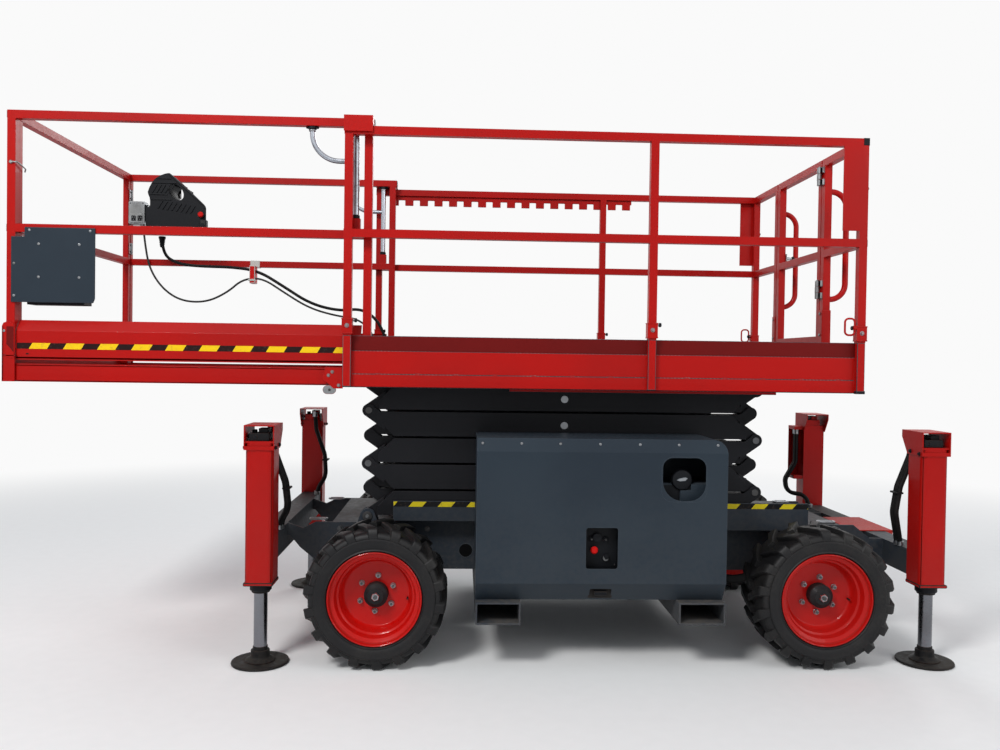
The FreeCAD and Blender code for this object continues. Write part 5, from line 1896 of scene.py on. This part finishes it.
@dataclass
class Cables:
    """The control box's cable and the outlet's cable, with their glands in the floor."""

    control: Tuple[Point, ...] = (
        (-1.980, 0.640, 2.151), (-1.980, 0.640, 2.045), (-1.880, 0.645, 1.986),
        (-1.730, 0.650, 1.976), (-1.560, 0.655, 1.976), (-1.400, 0.655, 1.956),
        (-1.250, 0.655, 1.866), (-1.080, 0.655, 1.758), (-0.900, 0.655, 1.716),
        (-0.770, 0.655, 1.734), (-0.680, 0.655, 1.680), (-0.625, 0.655, 1.590),
        (-0.605, 0.655, 1.500), (-0.605, 0.655, 1.411),
    )
    outlet: Tuple[Point, ...] = (
        (-2.110, 0.680, 2.228), (-2.096, 0.680, 2.094), (-2.060, 0.660, 1.952),
        (-1.975, 0.645, 1.832), (-1.858, 0.630, 1.760), (-1.708, 0.630, 1.755),
        (-1.580, 0.630, 1.818), (-1.490, 0.630, 1.900), (-1.370, 0.630, 1.911),
        (-1.232, 0.630, 1.821), (-1.084, 0.630, 1.731), (-0.923, 0.630, 1.686),
        (-0.765, 0.630, 1.666), (-0.671, 0.630, 1.556), (-0.675, 0.630, 1.411),
    )

    control_length: float = 1.757
    outlet_length: float = 2.02

    def build(self, reliefs: Dict[str, Object]) -> List[Object]:
        """Make the cables and their glands.

        Args:
            reliefs: The pieces of the control stand, by name.

        Returns:
            The pieces.
        """
        feet = Piece(Finish.PLASTIC)
        for x, y, _ in (self.control[-1], self.outlet[-1]):
            feet.disc(0.024, (x, y), Axis.Z, (1.410, 1.420), 0.003)
            feet.lathe(((0.0, 1.419), (0.019, 1.419), (0.017, 1.432), (0.0125, 1.436),
                        (0.0, 1.436)), (x, y), Axis.Z, 28)
        made = [feet.place("cable_floor_glands", "extension", "black_plastic")]
        made.append(Cord("control_cable_run", "control_cable", self.control, 0.018,
                         self.control_length).build(Finish.HOSE,
                                                    [reliefs["control_cable_relief"]]))
        made.append(Cord("outlet_cable_run", "outlet_cable", self.outlet, 0.012,
                         self.outlet_length).build(Finish.CABLE_GREY,
                                                   [reliefs["outlet_cable_relief"]]))
        clip = Piece(Finish.PALE_PLASTIC)
        clip.box((-1.456, 0.683, 1.978), (-1.398, 0.727, 2.022), 0.003)
        clip.box((-1.446, 0.618, 1.876), (-1.412, 0.688, 1.984), 0.004, Finish.BUTTON)
        clip.box((-1.452, 0.614, 1.890), (-1.406, 0.622, 1.902), 0.002)
        made.append(clip.place("cable_clip", "extension", "red_paint"))
        return made


# Chassis


@dataclass
class Cabinet:
    """Screws of one side cabinet, with the near one's fittings or the far one's blades."""

    side: int
    face: float = 0.865
    screw_z: float = 1.046
    screw_xs: Tuple[float, ...] = (-0.037, 0.141, 0.319, 0.502, 0.686, 0.866, 1.047)
    port_x: Flat = (0.836, 0.944)
    port_z: Flat = (0.836, 0.942)
    port_radius: float = 0.056
    window_radius: float = 0.046
    cap: Flat = (0.894, 0.880)
    panel_y: float = -0.792
    panel_x: Flat = (0.436, 0.596)
    panel_z: Flat = (0.470, 0.668)
    stop_button: Flat = (0.486, 0.553)
    key_switch: Flat = (0.5435, 0.512)
    toggles: Tuple[Flat, ...] = ((0.474, 0.602), (0.541, 0.600))
    slot_xs: Flat = (0.060, 0.700)
    slot_z: float = 0.560
    slot_pitch: float = 0.070
    slot_count: int = 5

    def build(self) -> List[Object]:
        """Make the fittings.

        Returns:
            Their pieces.
        """
        word = "near" if self.side < 0 else "far"
        piece = Piece(Finish.ZINC)
        bevel_y = self.side * (self.face - 0.0135)
        for x in self.screw_xs:
            screw(piece, (x, self.screw_z), Axis.Y, bevel_y, self.side, 0.0065)
        made = [piece.place("cabinet_screws_" + word, "chassis", "plated")]
        if self.side < 0:
            made += [self.port(), self.base_panel(), self.catch()]
        else:
            made.append(self.louvres())
        return made

    def port(self) -> Object:
        """Make the port's trim, and the filler cap and tank that show through it.

        Returns:
            The piece.
        """
        piece = Piece(Finish.GREY)
        outer = []
        inner = []
        for start, way_x, way_z, small in ((0, 1, 1, 0.046), (90, -1, 1, 0.046),
                                           (180, -1, -1, 0.094), (270, 1, -1, 0.078)):
            cx = self.port_x[way_x > 0]
            cz = self.port_z[way_z > 0]
            shift = small - self.window_radius
            for k in range(10):
                turn = math.radians(start + k * 10)
                outer.append((cx + self.port_radius * math.cos(turn),
                              cz + self.port_radius * math.sin(turn)))
                inner.append((cx - way_x * shift + small * math.cos(turn),
                              cz - way_z * shift + small * math.sin(turn)))
        piece.pierced((outer, outer), inner, Axis.Y, (-0.8640, -0.8649), 0.0003)
        piece.box((0.740, -0.790, 0.600), (1.040, -0.560, 0.865), 0.012, Finish.PLASTIC)
        piece.lathe((
            (0.0, -0.812), (0.030, -0.812), (0.044, -0.808), (0.050, -0.798), (0.050, -0.776),
            (0.034, -0.772), (0.034, -0.755), (0.0, -0.755),
        ), self.cap, Axis.Y, 40, finish=Finish.PLASTIC)
        piece.prism((
            (0.864, 0.879), (0.878, 0.888), (0.906, 0.894), (0.920, 0.889), (0.908, 0.876),
            (0.882, 0.873),
        ), Axis.Y, (-0.8115, -0.8160), 0.0015, Finish.ZINC)
        piece.box((0.886, -0.806, 0.770), (1.030, -0.640, 0.832), 0.006)
        piece.box((0.936, -0.806, 0.826), (1.030, -0.660, 0.860), 0.004)
        return piece.place("tank_and_cap", "chassis", "black_plastic")

    def base_panel(self) -> Object:
        """Make the switches that show through the control window.

        Returns:
            The piece.
        """
        piece = Piece(Finish.PIN_STEEL)
        face = self.panel_y
        piece.box((self.panel_x[0], face - 0.003, self.panel_z[0]),
                  (self.panel_x[1], face, self.panel_z[1]), 0.002, Finish.PLASTIC)
        button = self.stop_button
        piece.disc(0.012, button, Axis.Y, (face - 0.002, face - 0.024), 0.002, 28, Finish.BUTTON)
        piece.disc(0.0175, button, Axis.Y, (face - 0.020, face - 0.034), 0.005, 40, Finish.BUTTON)
        for spot in self.toggles:
            piece.disc(0.013, spot, Axis.Y, (face - 0.002, face - 0.012), 0.003, 32,
                       Finish.PLASTIC)
            piece.disc(0.0045, spot, Axis.Y, (face - 0.010, face - 0.026), 0.001, 16)
        piece.disc(0.014, self.key_switch, Axis.Y, (face - 0.002, face - 0.012), 0.002, 32,
                   Finish.ZINC)
        piece.box((0.5415, face - 0.015, 0.503), (0.5455, face - 0.010, 0.521), 0.0006)
        for x in (self.panel_x[0] + 0.010, self.panel_x[1] - 0.010):
            for z in (self.panel_z[0] + 0.010, self.panel_z[1] - 0.010):
                screw(piece, (x, z), Axis.Y, face - 0.003, -1, 0.004)
        return piece.place("base_control_switches", "chassis", "black_plastic")

    def catch(self) -> Object:
        """Make the paddle catch in the slot of the sloped foot.

        Returns:
            The piece.
        """
        piece = Piece(Finish.BLACK)
        piece.box((0.460, -0.822, 0.332), (0.570, -0.800, 0.384), 0.002)
        piece.prism(((-0.836, 0.346), (-0.822, 0.340), (-0.818, 0.372), (-0.842, 0.366)), Axis.X,
                    (0.484, 0.546), 0.003, Finish.PLASTIC)
        return piece.place("cabinet_catch", "chassis", "black_plastic")

    def louvres(self) -> Object:
        """Make the blades in the far cabinet's air slots.

        Returns:
            The piece.
        """
        piece = Piece(Finish.BLACK)
        for x in self.slot_xs:
            for i in range(self.slot_count):
                z = self.slot_z + self.slot_pitch * i
                piece.prism(((0.850, z - 0.006), (0.8648, z + 0.020), (0.8648, z + 0.024),
                             (0.846, z - 0.004)), Axis.X, (x - 0.004, x + 0.264), 0.0008,
                            Finish.GREY)
            piece.box((x - 0.020, 0.846, 0.545), (x + 0.280, 0.850, 0.880), 0.0)
        return piece.place("air_slot_blades", "chassis", "grey_paint")


@dataclass
class Outrigger:
    """Valve block, hoses, hose guard, gland and leg of one outrigger."""

    name: str
    x: float
    side: int
    inward: int
    beam_top: float
    guarded: bool
    y: float = 0.725
    half_x: float = 0.064
    half_y: float = 0.065
    post_z0: float = 0.372
    post_z1: float = 1.038
    rod_radius: float = 0.031
    pad_radius: float = 0.132
    rod_top: float = 0.700

    def build(self) -> List[Object]:
        """Make the outrigger's pieces.

        Returns:
            The pieces.
        """
        made = [self.valves(), self.hoses(), self.leg()]
        return made + ([self.guard()] if self.guarded else [])

    def guard(self) -> Object:
        """Make the hose guard, a plate behind the hoses with a flange at its top and foot.

        Returns:
            The piece.
        """
        piece = Piece(Finish.RED)
        way = self.inward
        xs = sorted((self.x + way * (self.half_x - 0.001), self.x + way * (self.half_x + 0.060)))
        ys = sorted((self.side * (self.y - self.half_y + 0.004), self.side * (self.y + 0.046)))
        back = sorted((self.side * (self.y + 0.036), self.side * (self.y + 0.044)))
        piece.box((xs[0], back[0], 0.700), (xs[1], back[1], 1.028), 0.002)
        for low, high in ((0.696, 0.718), (1.010, 1.032)):
            piece.box((xs[0], ys[0], low), (xs[1], ys[1], high), 0.003)
        return piece.place("hose_guard_" + self.name, "chassis", "red_paint")

    def valves(self) -> Object:
        """Make the valve block's coils, the flange bolts and the gland under the post.

        Returns:
            The piece.
        """
        piece = Piece(Finish.PLASTIC)
        x, y = self.x, self.side * self.y
        top = self.post_z1
        piece.box((x - 0.050, y - 0.052, top + 0.001), (x + 0.042, y + 0.048, top + 0.036), 0.003,
                  Finish.BLACK)
        piece.box((x - 0.010, y - 0.034, top + 0.035), (x + 0.033, y + 0.026, top + 0.058), 0.003,
                  Finish.BLACK)
        for dx in (-0.034, 0.020):
            piece.disc(0.012, (x + dx, y), Axis.Z, (top + 0.034, top + 0.050), 0.002, 24)
        for dy in (-0.020, 0.020):
            piece.disc(0.008, (y + dy, top + 0.019), Axis.X, (x - 0.060, x - 0.049), 0.001, 20)
        piece.hexagon((x - 0.020, top + 0.018), Axis.Y,
                      (y + self.side * 0.046, y + self.side * 0.056), 0.017)
        for way in SIDES:
            face = x + way * (self.half_x + 0.005)
            for dy, dz in ((0.044, -0.030), (-0.040, -0.024)):
                bolt(piece, (self.side * (self.y + dy), top + dz), Axis.X, face, way, 0.013)
        z0 = self.post_z0
        piece.box((x - self.half_x - 0.004, y - self.half_y - 0.004, z0 - 0.0005),
                  (x + self.half_x + 0.004, y + self.half_y + 0.004, z0 + 0.016), 0.005,
                  Finish.RED)
        piece.disc(0.050, (x, y), Axis.Z, (z0 - 0.030, z0 + 0.001), 0.003, 48)
        piece.disc(0.042, (x, y), Axis.Z, (z0 - 0.040, z0 - 0.029), 0.002, 48, Finish.BLACK)
        return piece.place("post_fittings_" + self.name, "chassis", "black_plastic")

    def hoses(self) -> Object:
        """Make the two hydraulic hoses that run from the hood down to the frame.

        Returns:
            The piece.
        """
        piece = Piece(Finish.ZINC)
        way = self.inward
        for k, depth in enumerate((0.630, 0.603)):
            across = self.x + way * 0.004 * k
            path = [
                (across + way * 0.098, self.side * (depth + 0.088), 1.004),
                (across + way * 0.098, self.side * (depth + 0.088), 0.800),
                (across + way * 0.160, self.side * (depth + 0.095), 0.690),
                (across + way * 0.158, self.side * (depth + 0.070), 0.610),
                (across + way * 0.064, self.side * (depth + 0.004), 0.600),
                (across + way * 0.048, self.side * (depth - 0.030), self.beam_top),
            ] if self.guarded else [
                (across + way * 0.020, self.side * (depth + 0.004), 1.085),
                (across + way * 0.028, self.side * depth, 0.985),
                (across + way * 0.084, self.side * (depth - 0.008), 0.830),
                (across + way * 0.095, self.side * (depth - 0.026), 0.700),
                (across + way * 0.056, self.side * (depth - 0.062), self.beam_top + 0.045),
                (across + way * 0.048, self.side * (depth - 0.066), self.beam_top),
            ]
            piece.tube(bent(path, 0.060 if self.guarded else 0.110, 12), 0.0125, 14, Finish.HOSE)
            x, y, z = path[-1]
            piece.disc(0.0165, (x, y), Axis.Z, (z - 0.001, z + 0.022), 0.002, 24)
            x, y, z = path[0]
            piece.disc(0.0160, (x, y), Axis.Z, (z - 0.024, z + 0.012), 0.002, 24)
        if not self.guarded:
            x, y, z = self.x + way * 0.091, self.side * 0.603, 0.800
            piece.box((x - 0.017, y - 0.030, z - 0.005), (x + 0.020, y + 0.038, z + 0.005), 0.003,
                      Finish.PLASTIC)
        return piece.place("post_hoses_" + self.name, "chassis", "black_plastic")

    def leg(self) -> Object:
        """Make the chromed rod with its cup and pad.

        Returns:
            The piece.
        """
        piece = Piece(Finish.BLACK)
        centre = (self.x, self.side * self.y)
        rod = self.rod_radius
        piece.lathe((
            (0.0, 0.040), (rod, 0.040), (rod, self.rod_top - 0.002), (rod - 0.002, self.rod_top),
            (0.0, self.rod_top),
        ), centre, Axis.Z, 56, finish=Finish.CHROME)
        piece.lathe((
            (0.0, 0.012), (0.068, 0.012), (0.070, 0.016), (0.064, 0.021), (0.047, 0.030),
            (0.0435, 0.036), (0.0430, 0.060), (0.0415, 0.063), (0.0345, 0.064), (0.0335, 0.080),
            (rod - 0.001, 0.081), (0.0, 0.081),
        ), centre, Axis.Z)
        pad = self.pad_radius
        piece.lathe((
            (0.0, 0.0), (pad - 0.008, 0.0), (pad - 0.001, 0.003), (pad, 0.007),
            (pad - 0.002, 0.012), (pad - 0.008, 0.014), (pad - 0.016, 0.0125), (0.072, 0.0125),
            (0.0, 0.0125),
        ), centre, Axis.Z, 72)
        return piece.place("leg_dressed_" + self.name, "leg_" + self.name, "chromed",
                           "leg_" + self.name)


@dataclass
class FrameFittings:
    """Guard tapes, hole collars, lashing rings, bolts and pivot caps on the frame."""

    guard_y: float = 0.490
    plate_y: float = 0.390
    pivot: Flat = (-0.594, 0.643)
    pivot_y: float = 0.4765
    tape_xs: Tuple[Flat, ...] = ((-0.465, -0.064), (1.094, 1.618))
    tape_z: Flat = (0.694, 0.719)
    hole: Flat = (-0.105, 0.457)
    bolt_xs: Tuple[float, ...] = (-0.740, -0.300, 1.200, 1.780)
    bolt_zs: Flat = (0.395, 0.565)
    ring_xs: Tuple[Flat, ...] = ((-0.900, -0.814), (1.735, 1.821))
    ring_y: float = 0.330
    ring_z: float = 0.604

    def build(self) -> List[Object]:
        """Make the fittings.

        Returns:
            Their pieces.
        """
        tape = Piece(Finish.GUARD_TAPE)
        piece = Piece(Finish.PIN_STEEL)
        for side in SIDES:
            face = side * self.guard_y
            for x0, x1 in self.tape_xs:
                tape.box((x0, face, self.tape_z[0]), (x1, face + side * 0.0005, self.tape_z[1]),
                         0.0)
            self.plate_side(piece, side)
        return [tape.place("guard_tapes", "chassis", "grey_paint"),
                piece.place("frame_fittings", "chassis", "grey_paint")]

    def plate_side(self, piece: Piece, side: int) -> None:
        """Add one side's rings, bolts and hole collar, with a near-black disc in the hole that is
        painted shadow.

        Args:
            piece: The fittings.
            side: The side of the machine.
        """
        face = side * self.plate_y
        piece.lathe((
            (0.033, face - side * 0.001), (0.0365, face - side * 0.001),
            (0.0365, face + side * 0.002), (0.033, face + side * 0.002),
        ), self.hole, Axis.Y, 40, True, Finish.FRAME_GREY)
        # Painted shadow: a near-black disc fills the hole in place of the shade seen through it.
        piece.disc(0.0335, self.hole, Axis.Y, (face - side * 0.001, face + side * 0.0005), 0.0, 40,
                   Finish.SHADOW_BLACK)
        for x in self.bolt_xs:
            for z in self.bolt_zs:
                bolt(piece, (x, z), Axis.Y, face, side, 0.018)
        y, z = side * self.ring_y, self.ring_z
        for x0, x1 in self.ring_xs:
            ring = [(x0, y, z), (x0, y - 0.020, z), (x1, y - 0.020, z), (x1, y + 0.020, z),
                    (x0, y + 0.020, z), (x0, y + 0.001, z)]
            piece.tube(bent(ring, 0.016), 0.005, 12, Finish.ZINC)
        cap = side * self.pivot_y
        piece.disc(0.024, self.pivot, Axis.Y, (cap - side * 0.001, cap + side * 0.005), 0.002, 36)
        bolt(piece, self.pivot, Axis.Y, cap + side * 0.004, side, 0.012, Finish.ZINC)


@dataclass
class ArmStack:
    """Pin caps of the crossed arms."""

    levels: int = 5
    fix_x: float = -0.594
    roll_x: float = 1.350
    base_z: float = 0.643
    level_h: float = 0.1313
    outer_y: float = 0.475
    cap_radius: float = 0.019

    def build(self) -> List[Object]:
        """Make the caps.

        Returns:
            One piece for each pair of arms that shows caps.
        """
        made = []
        middle = (self.fix_x + self.roll_x) / 2
        for level in range(1, self.levels + 1):
            z = self.base_z + self.level_h * (level - 0.5)
            piece = Piece(Finish.PIN_STEEL)
            for side in SIDES:
                face = side * self.outer_y
                piece.disc(self.cap_radius, (middle, z), Axis.Y,
                           (face - side * 0.002, face + side * 0.003), 0.001, 36, Finish.ZINC)
            made.append(piece.place("middle_caps_%d" % level, "inner_%d" % level, "plated"))
            end = self.roll_x if level % 2 == 1 else self.fix_x
            top = self.base_z + self.level_h * level
            piece = Piece(Finish.PIN_STEEL)
            for side in SIDES:
                face = side * self.outer_y
                piece.disc(self.cap_radius - 0.002, (end, top), Axis.Y,
                           (face - side * 0.002, face + side * 0.003), 0.001, 36)
            made.append(piece.place("end_caps_%d" % level, "outer_%d" % level, "plated"))
        return made


@dataclass
class Machine:
    """Every sub-assembly in the order in which it is built."""

    front_x: float = -0.520
    rear_x: float = 1.574

    def wheels(self) -> List[Object]:
        """Make the four wheels.

        Returns:
            Their pieces.
        """
        made = []
        for end, x in (("front", self.front_x), ("rear", self.rear_x)):
            for side, word in ((-1, "near"), (1, "far")):
                made += Wheel(end + "_" + word, x, side).build()
        return made

    def carried(self) -> None:
        """Dress the nodes that are shown as they are."""
        dress(("front_axle", "rear_axle", "knuckle_near", "knuckle_far"), Finish.BLACK, 0.003)
        dress(("tie_rod", "outlet_box"), Finish.ZINC, 0.0015)
        dress(("lock_handles",), Finish.BRIGHT, 0.0015)
        dress(("chassis_frame", "fork_pockets"), Finish.FRAME_GREY, 0.002)
        dress(("control_cabinet", "engine_cabinet"), Finish.GREY, 0.002, 14.0)
        dress(("mounting_plate",), Finish.GREY, 0.002)
        dress(("engine_block", "lift_barrel"), Finish.BLACK, 0.004)
        dress(("base_controls", "document_box"), Finish.PLASTIC, 0.002)
        dress(("outrigger_posts",), Finish.RED, 0.002)
        dress(("rear_step",), Finish.RED_TREAD, 0.002)
        dress(("lift_rod",), Finish.CHROME)
        dress(("main_rails", "lock_rack", "gate", "extension_rails"), Finish.RED, 0.003)
        for level in range(1, ArmStack.levels + 1):
            dress(("outer_arms_%d" % level, "inner_arms_%d" % level), Finish.ARM_BLACK, 0.004)

    def outriggers(self) -> List[Object]:
        """Make the four outriggers.

        Returns:
            Their pieces.
        """
        made = []
        for end, x, inward, top in (("front", -1.058, 1, 0.592), ("rear", 2.108, -1, 0.530)):
            for side, word in ((-1, "near"), (1, "far")):
                guarded = (end, word) == ("rear", "far")
                made += Outrigger(end + "_" + word, x, side, inward, top, guarded).build()
        return made

    def build(self) -> None:
        """Make every sub-assembly and report it."""
        stand = ControlStand().build()
        reliefs = {piece.name: piece for piece in stand}
        made = self.wheels() + self.outriggers() + FrameFittings().build()
        made += Cabinet(-1).build() + Cabinet(1).build() + ArmStack().build()
        made += MainDeck().build() + RailFittings().build()
        made += RollOutDeck().build() + RollOutRails().build() + stand
        made += PlateAndBox().build() + Cables().build(reliefs)
        self.carried()
        for piece in made:
            LOG.info("piece %s", piece.name)


def main() -> None:
    """Build the studio and the machine."""
    logging.basicConfig(level=logging.INFO, format="%(name)s: %(message)s")
    bpy.context.scene.view_settings.view_transform = "Standard"
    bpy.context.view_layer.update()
    Studio().build()
    Machine().build()
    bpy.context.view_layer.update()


if __name__ == "__main__":
    main()
